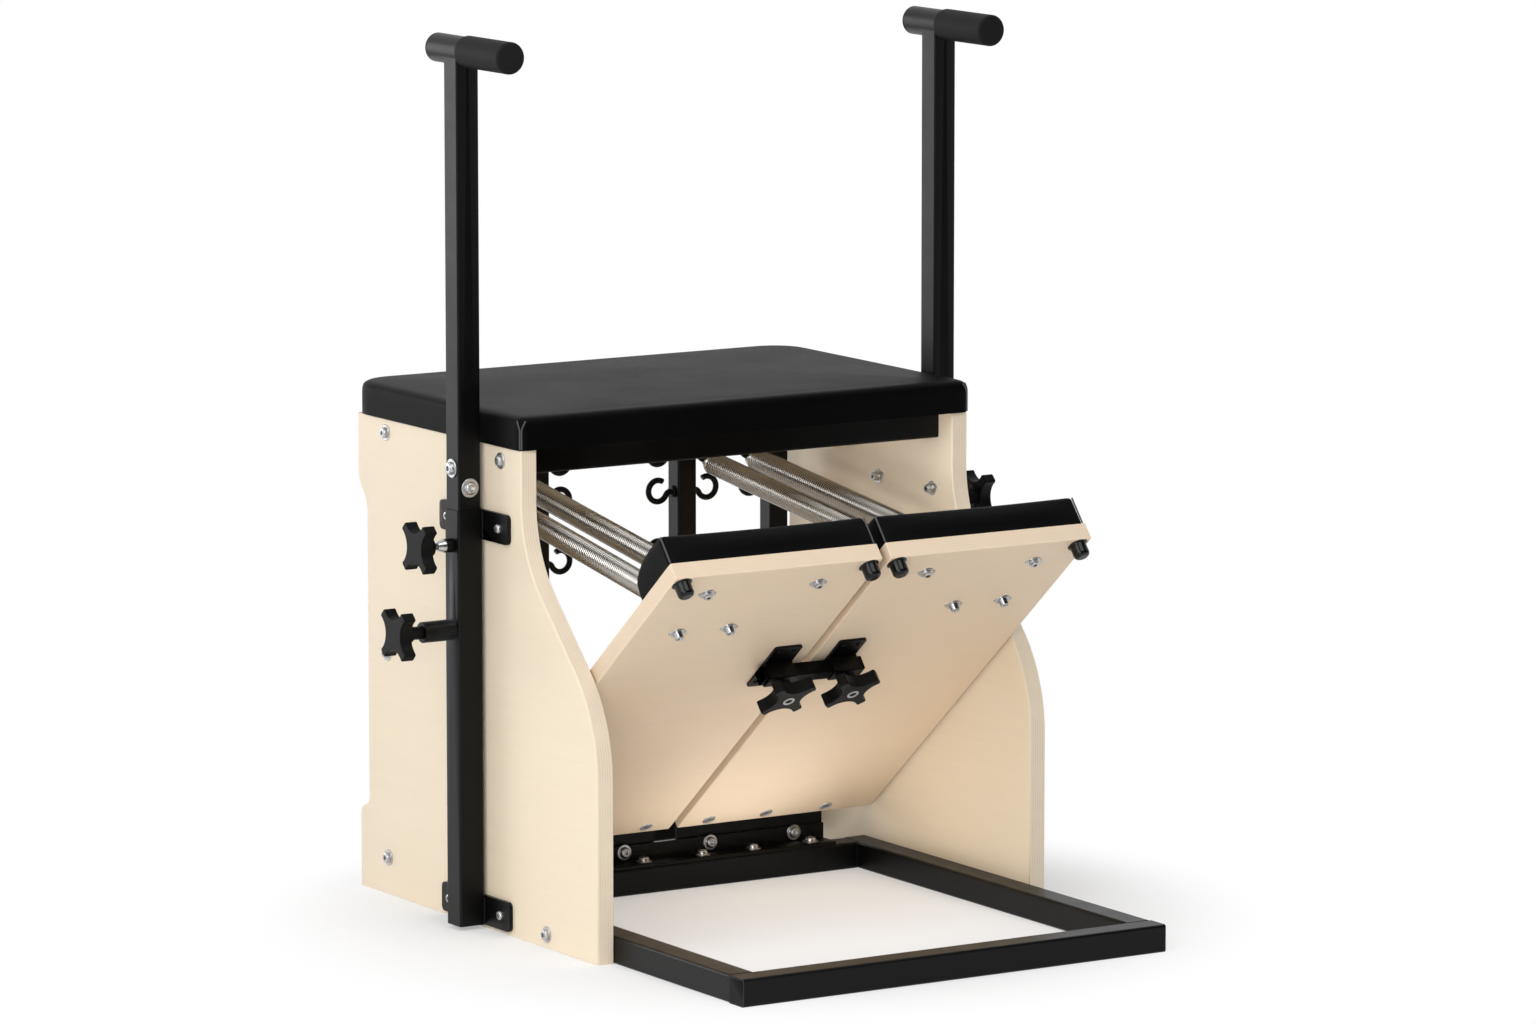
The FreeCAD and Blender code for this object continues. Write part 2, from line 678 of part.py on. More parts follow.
def front_end_length():
    """From the pedal eye's wire to the front flange's inner face."""
    return FRONT_EYE_R + END_EYE_WIRE_R / 2 + END_FLANGE_THICK - FRONT_EYE_AHEAD


def spring_end(eye_r, face):
    """End fitting along +Z: an eye in the YZ plane, a flange, and a stub inside the coil. Face at Z = face."""
    back = face - END_FLANGE_THICK
    flange = Part.makeCylinder(END_FLANGE_R, END_FLANGE_THICK, V(0, 0, back))
    stub_r = COIL_OD / 2 - COIL_WIRE - END_STUB_CLEAR
    stub = Part.makeCylinder(stub_r, END_STUB_LENGTH, V(0, 0, face))
    eye = Part.makeTorus(eye_r, END_EYE_WIRE_R, V(0, 0, back - eye_r - END_EYE_WIRE_R / 2), AXIS_X)
    return flange.fuse([stub, eye]).removeSplitter()


def rear_ends():
    """Rear end fittings of the right pedal's springs, hung on their hooks."""
    made = []
    for hook_x, eye_x in springs():
        place, _ = spring_frame(hook_x, eye_x)
        end = spring_end(REAR_EYE_R, rear_end_length())
        end.Placement = place
        made.append(end)
    return made


def front_ends():
    """Front end fittings, turned round, each with its eye round the pedal's eye bolt."""
    made = []
    for hook_x, eye_x in springs():
        place, length = spring_frame(hook_x, eye_x)
        end = spring_end(FRONT_EYE_R, 0)
        end.rotate(V(0, 0, 0), AXIS_X, 180)
        end.translate(V(0, 0, length - front_end_length()))
        end.Placement = place.multiply(end.Placement)
        made.append(end)
    return made


def coil(hook_x, eye_x):
    """One spring's wire: straight ends square to the two flanges, and turns on half-turn biarcs."""
    place, length = spring_frame(hook_x, eye_x)
    start = rear_end_length()
    end = length - front_end_length()
    r = (COIL_OD - COIL_WIRE) / 2
    lead = 2 * COIL_WIRE
    low = start + lead
    high = end - lead
    rise = (high - low) / (2 * math.pi * COIL_TURNS)

    def at(turn):
        return V(r * math.cos(turn), r * math.sin(turn), low + rise * turn)

    def heading(turn):
        return V(-r * math.sin(turn), r * math.cos(turn), rise).normalize()

    last = 2 * math.pi * COIL_TURNS
    rear_root = V(r, 0, start)
    front_root = V(r, 0, end)
    edges = [Part.LineSegment(rear_root, rear_root + V(0, 0, COIL_WIRE)).toShape()]
    edges += biarc(rear_root + V(0, 0, COIL_WIRE), AXIS_Z, at(0.3), heading(0.3))
    turns = [0.3 + (last - 0.6) * i / (2 * COIL_TURNS) for i in range(2 * COIL_TURNS + 1)]
    for first, second in zip(turns, turns[1:]):
        edges += biarc(at(first), heading(first), at(second), heading(second))
    edges += biarc(at(turns[-1]), heading(turns[-1]), front_root - V(0, 0, COIL_WIRE), AXIS_Z)
    edges.append(Part.LineSegment(front_root - V(0, 0, COIL_WIRE), front_root).toShape())
    wire = wire_rod(edges, COIL_WIRE / 2, AXIS_Z)
    wire.Placement = place
    return wire


def biarc(p0, t0, p1, t1):
    """Two tangent arcs from a point and direction to another."""
    span = p1 - p0
    both = t0 + t1
    bend = 2 * (1 - t0.dot(t1))
    reach = span.dot(both)
    if bend < 1e-9:
        arm = span.Length ** 2 / (4 * span.dot(t1))
    else:
        arm = (math.sqrt(reach ** 2 + bend * span.dot(span)) - reach) / bend
    middle = (p0 + p1 + (t0 - t1) * arm) * 0.5
    return [arc_from(p0, t0, middle), arc_from(p1, t1 * -1, middle)]


def connector_bracket():
    """Plate under the right pedal with a square guide for the connector bar and a hole for the knob's stud."""
    x0 = PLATE_INNER_X
    x1 = PLATE_INNER_X + PLATE_WIDTH
    y0 = -PLATE_AT - PLATE_LENGTH / 2
    plate = Part.Face(corner_rectangle(x0, x1, y0, y0 + PLATE_LENGTH, (PLATE_CORNER,) * 4))
    plate = plate.extrude(V(0, 0, -PLATE_THICK))
    plate.translate(V(0, 0, BOARD_UNDER))
    guide = tube_between(V(x0, -PLATE_AT, GUIDE_N), V(x1, -PLATE_AT, GUIDE_N), GUIDE, GUIDE_WALL, PLATE_THICK / 2)
    middle = V((x0 + x1) / 2, -PLATE_AT, GUIDE_N)
    hole = Part.makeCylinder(STUD_R + STUD_CLEAR, GUIDE, middle, V(0, 0, -1))
    return on_pedal(plate.fuse(guide).removeSplitter().cut(hole))


def connector_bar():
    """Square bar through both guides."""
    side = GUIDE - 2 * GUIDE_WALL - 2 * BAR_CLEAR
    half = PLATE_INNER_X + PLATE_WIDTH + BAR_OVERHANG
    bar = Part.Face(rounded_rectangle(side, side, 1)).extrude(V(0, 0, 2 * half))
    bar.Placement = FreeCAD.Placement(V(-half, -PLATE_AT, GUIDE_N), FreeCAD.Rotation(AXIS_Z, AXIS_X))
    return on_pedal(bar)


def star_outline():
    """Star of blunt arms, flat at their ends and joined by hollow arcs, that stands on two arms."""
    step = 2 * math.pi / STAR_ARMS

    def corner(arm, side):
        turn = step * (arm + 0.5)
        return V(
            STAR_R * math.cos(turn) - side * STAR_TIP_HALF * math.sin(turn),
            STAR_R * math.sin(turn) + side * STAR_TIP_HALF * math.cos(turn), 0)

    edges = []
    for arm in range(STAR_ARMS):
        waist = V(STAR_WAIST * math.cos(step * (arm + 1)), STAR_WAIST * math.sin(step * (arm + 1)), 0)
        edges.append(Part.LineSegment(corner(arm, -1), corner(arm, 1)).toShape())
        edges.append(Part.Arc(corner(arm, 1), waist, corner(arm + 1, -1)).toShape())
    return Part.Wire(edges)


def star_knob(hub_start, neck_r, neck_start, neck_end):
    """Knob along +Z: a stud or pin from neck_start to neck_end, then a hub and the star on its end."""
    star_start = hub_start + STAR_HUB
    star = Part.Face(star_outline()).extrude(V(0, 0, STAR_THICK))
    star = star.makeFillet(STAR_TIP_CORNER, [edge for edge in star.Edges if edge.BoundBox.ZLength > STAR_EASE])
    star = star.makeFillet(STAR_EASE, [edge for edge in star.Edges if edge.BoundBox.ZLength < STAR_EASE])
    star.translate(V(0, 0, star_start))
    hub = Part.makeCylinder(STAR_HUB_R, STAR_HUB + STAR_EASE, V(0, 0, hub_start))
    neck = Part.makeCylinder(neck_r, neck_end - neck_start, V(0, 0, neck_start))
    return star.fuse([hub, neck]).removeSplitter()


def connector_knob():
    """Right clamp knob of the connector, its stud just short of the bar."""
    bar_face = (GUIDE - 2 * GUIDE_WALL - 2 * BAR_CLEAR) / 2
    hub_start = GUIDE / 2 + STUD_NECK
    knob = star_knob(hub_start, STUD_R, bar_face + STUD_TIP_GAP, hub_start)
    knob.rotate(V(0, 0, 0), AXIS_X, 180)
    knob.translate(V(PLATE_INNER_X + PLATE_WIDTH / 2, -PLATE_AT, GUIDE_N))
    return on_pedal(knob)


def mast_sleeve():
    """Right sleeve with its bolting plates, the pull pin's barrel and the clamp stud's hole."""
    sleeve = tube_between(V(MAST_X, MAST_Y, SLEEVE_BOTTOM), V(MAST_X, MAST_Y, SLEEVE_TOP), SLEEVE, SLEEVE_WALL)
    for low in (SLEEVE_BOTTOM, SLEEVE_TOP - BRACKET_HEIGHT):
        sleeve = sleeve.fuse(bracket_plate(low))
    sleeve = sleeve.fuse(pull_barrel()).removeSplitter()
    for z, radius in ((CLAMP_Z, STUD_R + STUD_CLEAR), (PULL_Z, PULL_PIN_R + STUD_CLEAR)):
        sleeve = sleeve.cut(Part.makeCylinder(radius, SLEEVE + PULL_BARREL, V(MAST_X, MAST_Y, z), AXIS_X))
    return sleeve


def bracket_plate(low):
    """Plate between the sleeve and the panel's outer face."""
    half = BRACKET_HEIGHT / 2
    plate = Part.Face(corner_rectangle(-BRACKET_AHEAD, BRACKET_BEHIND, -half, half, (BRACKET_CORNER,) * 4))
    plate = plate.extrude(V(0, 0, BRACKET_THICK))
    turn = FreeCAD.Rotation(AXIS_Y, AXIS_Z, AXIS_X, "ZXY")
    plate.Placement = FreeCAD.Placement(V(PANEL_OUT, MAST_Y, low + BRACKET_HEIGHT / 2), turn)
    return plate


def bracket_bolts():
    """Small domed bolts at both ends of the right sleeve's plates."""
    made = []
    for low in (SLEEVE_BOTTOM, SLEEVE_TOP - BRACKET_HEIGHT):
        for shift in (BRACKET_BOLT_INSET - BRACKET_AHEAD, BRACKET_BEHIND - BRACKET_BOLT_INSET):
            place = V(PANEL_OUT + BRACKET_THICK, MAST_Y + shift, low + BRACKET_HEIGHT / 2)
            seat = Part.makeCylinder(BRACKET_BOLT_R, BRACKET_BOLT_SEAT, place, AXIS_X)
            dome = Part.makeCone(
                BRACKET_BOLT_R, BRACKET_BOLT_R / 2, BRACKET_BOLT_SEAT, place + AXIS_X * BRACKET_BOLT_SEAT, AXIS_X)
            made.append(seat.fuse(dome).removeSplitter())
    return made


def bracket_nuts():
    """Flanged nuts of the upper plate's bolts, on the right panel's inner face."""
    made = []
    for shift in (BRACKET_BOLT_INSET - BRACKET_AHEAD, BRACKET_BEHIND - BRACKET_BOLT_INSET):
        place = V(PANEL_IN, MAST_Y + shift, SLEEVE_TOP - BRACKET_HEIGHT / 2)
        flange = Part.makeCylinder(BRACKET_NUT_R, BRACKET_NUT_THICK, place, -AXIS_X)
        end = Part.makeCylinder(BRACKET_NUT_END_R, BRACKET_NUT_THICK + BRACKET_NUT_END, place, -AXIS_X)
        made.append(flange.fuse(end).removeSplitter())
    return made


def handle():
    """Right sliding tube with its index holes and the bar welded across its top."""
    post = tube_between(
        V(MAST_X, MAST_Y, HANDLE_BOTTOM), V(MAST_X, MAST_Y, HANDLE_TOP), HANDLE, HANDLE_WALL, HANDLE_CORNER)
    for step in range(INDEX_HOLES):
        z = PULL_Z + (step - (INDEX_HOLES - 1) / 2) * INDEX_PITCH
        post = post.cut(Part.makeCylinder(INDEX_HOLE_R, HANDLE, V(MAST_X, MAST_Y, z), AXIS_X))
    front = V(MAST_X, MAST_Y - BAR_AHEAD, HANDLE_TOP)
    rear = V(MAST_X, MAST_Y + BAR_BEHIND, HANDLE_TOP)
    bar = round_bar(front, rear, BAR_R)
    bore = round_bar(front, rear, BAR_R - BAR_WALL)
    return post.cut(bar).fuse(bar.cut(bore)).removeSplitter()


def grip():
    """Rubber sleeve with a closed end over the front of the right handle's bar."""
    outer_r = BAR_R + GRIP_CLEAR + GRIP_THICK
    tip = V(MAST_X, MAST_Y - BAR_AHEAD - GRIP_END_WALL, HANDLE_TOP)
    start = V(MAST_X, MAST_Y - GRIP_START, HANDLE_TOP)
    sleeve = round_bar(tip, start, outer_r)
    rim = [edge for edge in sleeve.Edges if edge.BoundBox.YMax < tip.y + GRIP_END_WALL / 2]
    sleeve = sleeve.makeFillet(GRIP_END_R, rim)
    bore = round_bar(V(MAST_X, MAST_Y - BAR_AHEAD, HANDLE_TOP), start, BAR_R + GRIP_CLEAR)
    return sleeve.cut(bore)


def bar_plug():
    """Plug that closes the rear end of the right handle's bar."""
    rear = V(MAST_X, MAST_Y + BAR_BEHIND, HANDLE_TOP)
    disc = Part.makeCylinder(BAR_R, PLUG_THICK, rear, AXIS_Y)
    rim = [edge for edge in disc.Edges if edge.BoundBox.YMin > rear.y + PLUG_THICK / 2]
    disc = disc.makeFillet(PLUG_THICK / 2, rim)
    stem = Part.makeCylinder(BAR_R - BAR_WALL - GRIP_CLEAR, CAP_DEPTH, rear, V(0, -1, 0))
    return disc.fuse(stem).removeSplitter()


def stop_bolts():
    """Bolts through the right sliding tube's outer and front faces."""
    outer_place = V(MAST_X + HANDLE / 2, MAST_Y, SLEEVE_TOP + STOP_BOLT_OUTER_RISE)
    front_place = V(MAST_X, MAST_Y - HANDLE / 2, SLEEVE_TOP + STOP_BOLT_FRONT_RISE)
    outer = bolt(outer_place, AXIS_X, STOP_WASHER_R)
    front = bolt(front_place, V(0, -1, 0), STOP_WASHER_R)
    return [outer, front]


def outward(shape, z):
    """Place a piece made along +Z so that it points out of the right sleeve at height z."""
    shape.Placement = FreeCAD.Placement(
        V(SLEEVE_FACE, MAST_Y, z), FreeCAD.Rotation(AXIS_Z, AXIS_X)).multiply(shape.Placement)
    return shape


def clamp_boss():
    """Boss and cone nut for the clamp knob's stud."""
    boss = Part.makeCylinder(CLAMP_BOSS_R, CLAMP_BOSS)
    cone = Part.makeCone(CLAMP_BOSS_R, CLAMP_CONE_TIP_R, CLAMP_CONE, V(0, 0, CLAMP_BOSS))
    bore = Part.makeCylinder(STUD_R + STUD_CLEAR, CLAMP_BOSS + CLAMP_CONE)
    return outward(boss.fuse(cone).removeSplitter().cut(bore), CLAMP_Z)


def clamp_knob():
    """Right clamp knob: star, hub and stud, whose tip is just short of the sliding tube."""
    hub_start = CLAMP_BOSS + CLAMP_CONE + CLAMP_STUD_SHOWN
    tip = STUD_TIP_GAP - SLEEVE_WALL - SLIDE_CLEAR
    return outward(star_knob(hub_start, STUD_R, tip, hub_start), CLAMP_Z)


def pull_barrel():
    """Barrel that guides the right pull pin, before its bore is cut."""
    barrel = Part.makeCylinder(PULL_BARREL_R, PULL_BARREL)
    rim = [edge for edge in barrel.Edges if edge.BoundBox.ZMin > PULL_BARREL / 2 and edge.BoundBox.ZLength < 1]
    barrel = barrel.makeFillet(STAR_EASE, rim)
    return outward(barrel, PULL_Z)


def pull_pin():
    """Right pull pin and its star knob, the tip riding just off the sliding tube between two index holes."""
    tip = STUD_TIP_GAP - SLEEVE_WALL - SLIDE_CLEAR
    neck_start = PULL_BARREL + STUD_TIP_GAP
    hub_start = neck_start + PULL_NECK
    knob = star_knob(hub_start, PULL_PIN_R, tip, hub_start)
    neck = Part.makeCylinder(PULL_NECK_R, PULL_NECK, V(0, 0, neck_start))
    return outward(knob.fuse(neck).removeSplitter(), PULL_Z)


def panel_bolts():
    """Bolts in the right panel's outer face, at the rails, the posts' ties and the base."""
    places = ((FRONT_RAIL_Y, SEAT_RAIL_Z), (REAR_RAIL_Y, SEAT_RAIL_Z), (REAR_RAIL_Y, LOWER_RAIL_Z),
              (REAR_RAIL_Y, STUB_Z), (PANEL_FRONT_Y + BASE_BOLT_BACK, TUBE / 2))
    return [bolt(V(PANEL_OUT, y, z), AXIS_X) for y, z in places]


def angle_bolts():
    """Right half of the bolts through the angle: upright flange to the leaf, foot to the rail."""
    up_z = TUBE + ANGLE_RISE - ANGLE_WASHER_R
    face = HINGE_FACE_Y - ANGLE_THICK
    made = []
    for x in ANGLE_BOLTS_X:
        made.append(bolt(V(x, face, up_z), V(0, -1, 0), ANGLE_WASHER_R))
    for x in RAIL_BOLTS_X:
        made.append(bolt(V(x, (HINGE_FACE_Y - TUBE + face) / 2, TUBE + ANGLE_THICK), AXIS_Z))
    return made


def frame_bolts():
    """Right half of all the bolts in the standing frame."""
    return panel_bolts() + angle_bolts() + bracket_bolts() + bracket_nuts()


def both(make):
    """The right-hand pieces of a function and their mirror images."""
    pieces = make()
    pieces = pieces if isinstance(pieces, list) else [pieces]
    return pieces + [mirrored(piece) for piece in pieces]


def pedal_travel():
    """Degrees from rest until the bumpers stand just clear of the base's front rail."""
    along = PEDAL_END - BUMPER_FROM_END
    out = BOARD_UNDER - BUMPER_HEIGHT
    reach = math.hypot(along, out)
    stop_height = TUBE + BUMPER_STOP_CLEAR - PIN_HEIGHT
    angle = math.asin(stop_height / reach) - math.atan2(out, along)
    return PEDAL_REST - math.degrees(angle)


def report_gap():
    """Print the coil's least gap to itself, measured on points of its middle line, and the travel."""
    _, length = spring_frame(*springs()[0])
    pitch = (length - rear_end_length() - front_end_length() - 4 * COIL_WIRE) / COIL_TURNS
    r = (COIL_OD - COIL_WIRE) / 2
    first = V(r, 0, 0)
    steps = 720
    least = min((V(r * math.cos(t), r * math.sin(t), pitch * t / (2 * math.pi)) - first).Length
                for t in (math.pi + 2 * math.pi * i / steps for i in range(steps)))
    print("least gap of a coil to itself, mm:", round(least - COIL_WIRE, 2))
    rear, heading, span = spring_line()
    print("spring line from", rear, "heading", heading, "length", round(span, 2))
    print("pedal travel, degrees:", round(pedal_travel(), 3))


def main():
    os.makedirs("parts", exist_ok=True)
    export("seat_board", seat_board())
    export("seat_pad", seat_pad())
    export("front_seat_rail", cross_rail(FRONT_RAIL_Y, SEAT_RAIL_Z))
    export("rear_seat_rail", cross_rail(REAR_RAIL_Y, SEAT_RAIL_Z))
    export("rear_lower_rail", cross_rail(REAR_RAIL_Y, LOWER_RAIL_Z))
    export("base_front_rail", cross_rail(BASE_FRONT_Y + TUBE / 2, TUBE / 2))
    export("base_hinge_rail", hinge_rail())
    export("hinge_angle", hinge_angle())
    export("connector_bar", connector_bar())
    export("spring_hooks", spring_hooks())
    paired = (("front_rail_caps", front_rail_cap), ("inner_spring_posts", inner_post),
              ("outer_spring_posts", outer_post), ("hinge_pins", hinge_pin), ("frame_bolts", frame_bolts),
              ("clamp_bosses", clamp_boss))
    for name, make in paired:
        export(name, both(make))
    sided = (("panel", side_panel), ("base_rail", base_side_rail), ("fixed_leaf", fixed_leaf),
             ("mast_sleeve", mast_sleeve), ("pedal_board", pedal_board), ("pedal_pad", pedal_pad),
             ("moving_leaf", moving_leaf), ("pedal_bumpers", bumpers), ("pedal_bolts", pedal_bolts),
             ("spring_eyes", spring_eyes), ("connector_bracket", connector_bracket),
             ("connector_knob", connector_knob), ("spring_rear_ends", rear_ends),
             ("spring_front_ends", front_ends), ("handle", handle), ("grip", grip), ("bar_plug", bar_plug),
             ("stop_bolts", stop_bolts), ("clamp_knob", clamp_knob), ("pull_pin", pull_pin))
    for name, make in sided:
        pieces = make()
        pieces = pieces if isinstance(pieces, list) else [pieces]
        for side_name, side in SIDES:
            export(side_name + "_" + name, [for_side(side, piece) for piece in pieces])
    for place, (hook_x, eye_x) in zip(("inner", "outer"), springs()):
        wire = coil(hook_x, eye_x)
        for side_name, side in SIDES:
            export(side_name + "_" + place + "_spring", for_side(side, wire))
    report_gap()


main()
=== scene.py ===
import json
import math

import bmesh
import bpy
from bpy.props import FloatProperty, FloatVectorProperty, IntProperty, PointerProperty
from mathutils import Matrix, Vector


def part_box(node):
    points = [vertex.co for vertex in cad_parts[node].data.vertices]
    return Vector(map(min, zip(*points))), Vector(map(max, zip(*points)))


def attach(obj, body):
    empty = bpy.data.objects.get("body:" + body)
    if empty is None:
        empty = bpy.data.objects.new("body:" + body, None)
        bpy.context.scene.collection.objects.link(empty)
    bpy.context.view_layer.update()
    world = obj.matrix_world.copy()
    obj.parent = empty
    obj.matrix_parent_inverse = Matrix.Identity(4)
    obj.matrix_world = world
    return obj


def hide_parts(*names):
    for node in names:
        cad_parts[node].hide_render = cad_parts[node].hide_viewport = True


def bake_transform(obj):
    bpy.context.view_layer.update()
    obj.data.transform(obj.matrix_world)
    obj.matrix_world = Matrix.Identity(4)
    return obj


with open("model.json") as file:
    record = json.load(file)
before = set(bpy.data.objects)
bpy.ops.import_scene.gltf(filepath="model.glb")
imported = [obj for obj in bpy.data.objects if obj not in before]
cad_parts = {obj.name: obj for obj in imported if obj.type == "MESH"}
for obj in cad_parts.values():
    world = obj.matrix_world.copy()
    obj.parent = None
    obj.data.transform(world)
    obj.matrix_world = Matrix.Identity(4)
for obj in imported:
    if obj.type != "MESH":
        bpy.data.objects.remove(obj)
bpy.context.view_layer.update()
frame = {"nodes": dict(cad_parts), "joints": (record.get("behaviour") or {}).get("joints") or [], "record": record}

bl_info = {
    "name": "Pilates Chair Finish",
    "version": (1, 0, 0),
    "blender": (4, 5, 0),
    "location": "3D View > Sidebar > Chair",
    "description": "Dresses the pilates chair: plywood, pads, springs, fasteners and stage",
    "category": "Object",
}

SIDES = {"left": -1, "right": 1}
BODY_OF = {node: body for body, nodes in frame["record"]["behaviour"]["bodies"].items() for node in nodes}
SLOT_OF = {part["node"]: part["material_slot"] for part in frame["record"]["subparts"]}
JOINT = {joint["name"]: joint for joint in frame["joints"]}

# The resting pedals: a point on the hinge line and the boards' slope
PIN = Vector(JOINT["left_pedal_hinge"]["pos_m"])
SLOPE = math.radians(39.7)
PEDAL = Matrix.Translation(PIN) @ Matrix.Rotation(-SLOPE, 4, "X")
BOARD_UNDER = -0.0225
UNDER = PEDAL.to_3x3() @ Vector((0, 0, -1))

# The plywood's thickness and that of a pair of its layers, and the panels' inner face
PLY = 0.021
PLY_PAIR = 0.0032
PANEL_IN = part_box("right_panel")[0].x

# Distance within which points are one, and angles in degrees above which an edge is shaded sharp
MERGE = 1e-6
CAD_CREASE = 32
FORM_CREASE = 38
PAD_CREASE = 60

# Segments round a fastener's head
HEAD_STEPS = 24

# The pads' stretched vinyl while it swells, and the frames that this takes
COVER_CLOTH = {
    "quality": 4, "mass": 0.4, "tension_stiffness": 30, "compression_stiffness": 30, "shear_stiffness": 10,
    "bending_stiffness": 6, "use_pressure": True, "vertex_group_mass": "held"}
COVER_FRAMES = 16

CAMERA_AT = (-4.743, -7.5975, 1.837)
CAMERA_TURN = tuple(math.radians(angle) for angle in (81.32, 0, -32.05))

# Each lamp's place, target and size in metres, the stage's power and the share of it, and whether metal mirrors it
LAMPS = (
    ("key_lamp", (-3.4, -1.2, 2.7), (0, 0, 0.45), 2.6, "key", 1.0, True),
    ("fill_lamp", (-2.5, -2.9, 1.0), (0.15, 0.0, 0.3), 1.4, "fill", 1.0, True),
    ("top_lamp", (0.0, -1.9, 3.2), (0, -0.1, 0.1), 2.4, "top", 1.0, True),
    ("rim_lamp", (-2.6, 4.2, 1.0), (0, 0, 0.5), 2.6, "rim", 1.0, True),
    ("bounce_lamp", (0.06, 0.06, 0.012), (0.08, 0.02, 1), 0.24, "bounce", 1.0, False),
    ("inner_lamp", (-0.2, 0.0, 0.42), (0.29, 0.06, 0.47), 0.16, "bounce", 3.2, False),
)


def tint(name, description, default):
    """Property that holds a colour."""
    return FloatVectorProperty(
        name=name, description=description, subtype="COLOR", size=3, default=default, min=0, max=1)


def measure(name, description, default, least=0.0):
    """Property that holds a length in metres."""
    return FloatProperty(name=name, description=description, default=default, min=least, unit="LENGTH")


def power(name, description, default):
    """Property that holds a lamp's power in watts."""
    return FloatProperty(name=name, description=description, default=default, min=0, unit="POWER")


class ChairFinish(bpy.types.PropertyGroup):
    """Colours of the chair's finishes."""

    birch: tint("Birch", "Face veneer of the plywood", (0.865, 0.742, 0.575))
    birch_core: tint("Birch core", "Dark layers on the plywood's edges", (0.70, 0.575, 0.45))
    vinyl: tint("Vinyl", "Upholstery of the seat and the pedals", (0.0016, 0.0017, 0.0021))
    powder_coat: tint("Powder coat", "Tubes, masts, brackets and hinges", (0.0014, 0.0014, 0.0014))
    zinc: tint("Zinc", "Bolts, washers and studs", (0.53, 0.535, 0.54))
    bright_zinc: tint("Bright zinc", "Flush inserts under the pedals", (0.86, 0.86, 0.86))
    nickel: tint("Nickel", "Spring wire and its end fittings", (0.44, 0.425, 0.40))
    knob_plastic: tint("Knob plastic", "Star knobs and plugs", (0.0045, 0.0045, 0.0047))
    grip_rubber: tint("Grip rubber", "Handle grips", (0.010, 0.010, 0.011))
    bumper_rubber: tint("Bumper rubber", "Pedal bumpers", (0.004, 0.004, 0.0043))
    # The seams' colour is partly the thread's own and partly a painted highlight: it is lightened to grey to stand for
    # the light caught on the raised seams.
    thread_and_highlight: tint("Thread and highlight", "Sewn edges of the pads", (0.075, 0.075, 0.077))


class ChairSizes(bpy.types.PropertyGroup):
    """Sizes of what is modelled here."""

    coil_turns: IntProperty(name="Coil turns", description="Turns of each spring", default=114, min=20, max=180)
    coil_wire: measure("Coil wire", "Wire diameter of the springs", 0.0036, 0.001)
    coil_outside: measure("Coil outside", "Outside diameter of the springs", 0.0275, 0.01)
    seam: measure("Seam", "Half thickness of a seam's raised edge", 0.0010)
    crown: measure("Crown", "Most that a pad swells", 0.003)
    voxel: measure("Pad mesh", "Mesh size of the pads before they swell", 0.0045, 0.002)


class ChairStage(bpy.types.PropertyGroup):
    """Floor, light and camera."""

    floor: tint("Floor", "Colour of the floor", (0.94, 0.94, 0.945))
    key: power("Key", "Power of the large lamp on the left", 62)
    fill: power("Fill", "Power of the lamp in front", 44)
    rim: power("Rim", "Power of the lamp behind on the left", 62)
    top: power("Top", "Power of the lamp overhead", 48)
    bounce: power("Bounce", "Power of the small lamps under the pedals", 0.24)
    sky: FloatProperty(name="Sky", description="Strength of the even light", default=0.24, min=0)
    lens: FloatProperty(name="Lens", description="Focal length in millimetres", default=185.86, min=20)


class Value:
    """A shader socket; arithmetic on it adds Math nodes."""

    def __init__(self, nodes, socket):
        self.nodes = nodes
        self.socket = socket

    def math(self, operation, first, second=0.0):
        return self.nodes.node("ShaderNodeMath", {"operation": operation}, {0: first, 1: second})

    def __add__(self, other):
        return self.math("ADD", self, other)

    def __radd__(self, other):
        return self.math("ADD", other, self)

    def __sub__(self, other):
        return self.math("SUBTRACT", self, other)

    def __rsub__(self, other):
        return self.math("SUBTRACT", other, self)

    def __mul__(self, other):
        return self.math("MULTIPLY", self, other)

    def __rmul__(self, other):
        return self.math("MULTIPLY", other, self)

    def __abs__(self):
        return self.math("ABSOLUTE", self)

    def least(self, other):
        return self.math("MINIMUM", self, other)

    def most(self, other):
        return self.math("MAXIMUM", self, other)

    def fraction(self):
        return self.math("FRACT", self)

    def step(self, low, high):
        """0 below low, 1 above high, smooth between."""
        settings = {"interpolation_type": "SMOOTHSTEP"}
        return self.nodes.node("ShaderNodeMapRange", settings, {"Value": self, "From Min": low, "From Max": high})


class Nodes:
    """The node tree of a material or of the world."""

    def __init__(self, owner):
        owner.use_nodes = True
        self.tree = owner.node_tree

    def feed(self, socket, value):
        if isinstance(value, Value):
            self.tree.links.new(value.socket, socket)
        else:
            socket.default_value = value

    def node(self, kind, settings=None, inputs=None, output=0):
        made = self.tree.nodes.new(kind)
        for key, value in (settings or {}).items():
            setattr(made, key, value)
        for key, value in (inputs or {}).items():
            self.feed(made.inputs[key], value)
        return Value(self, made.outputs[output])


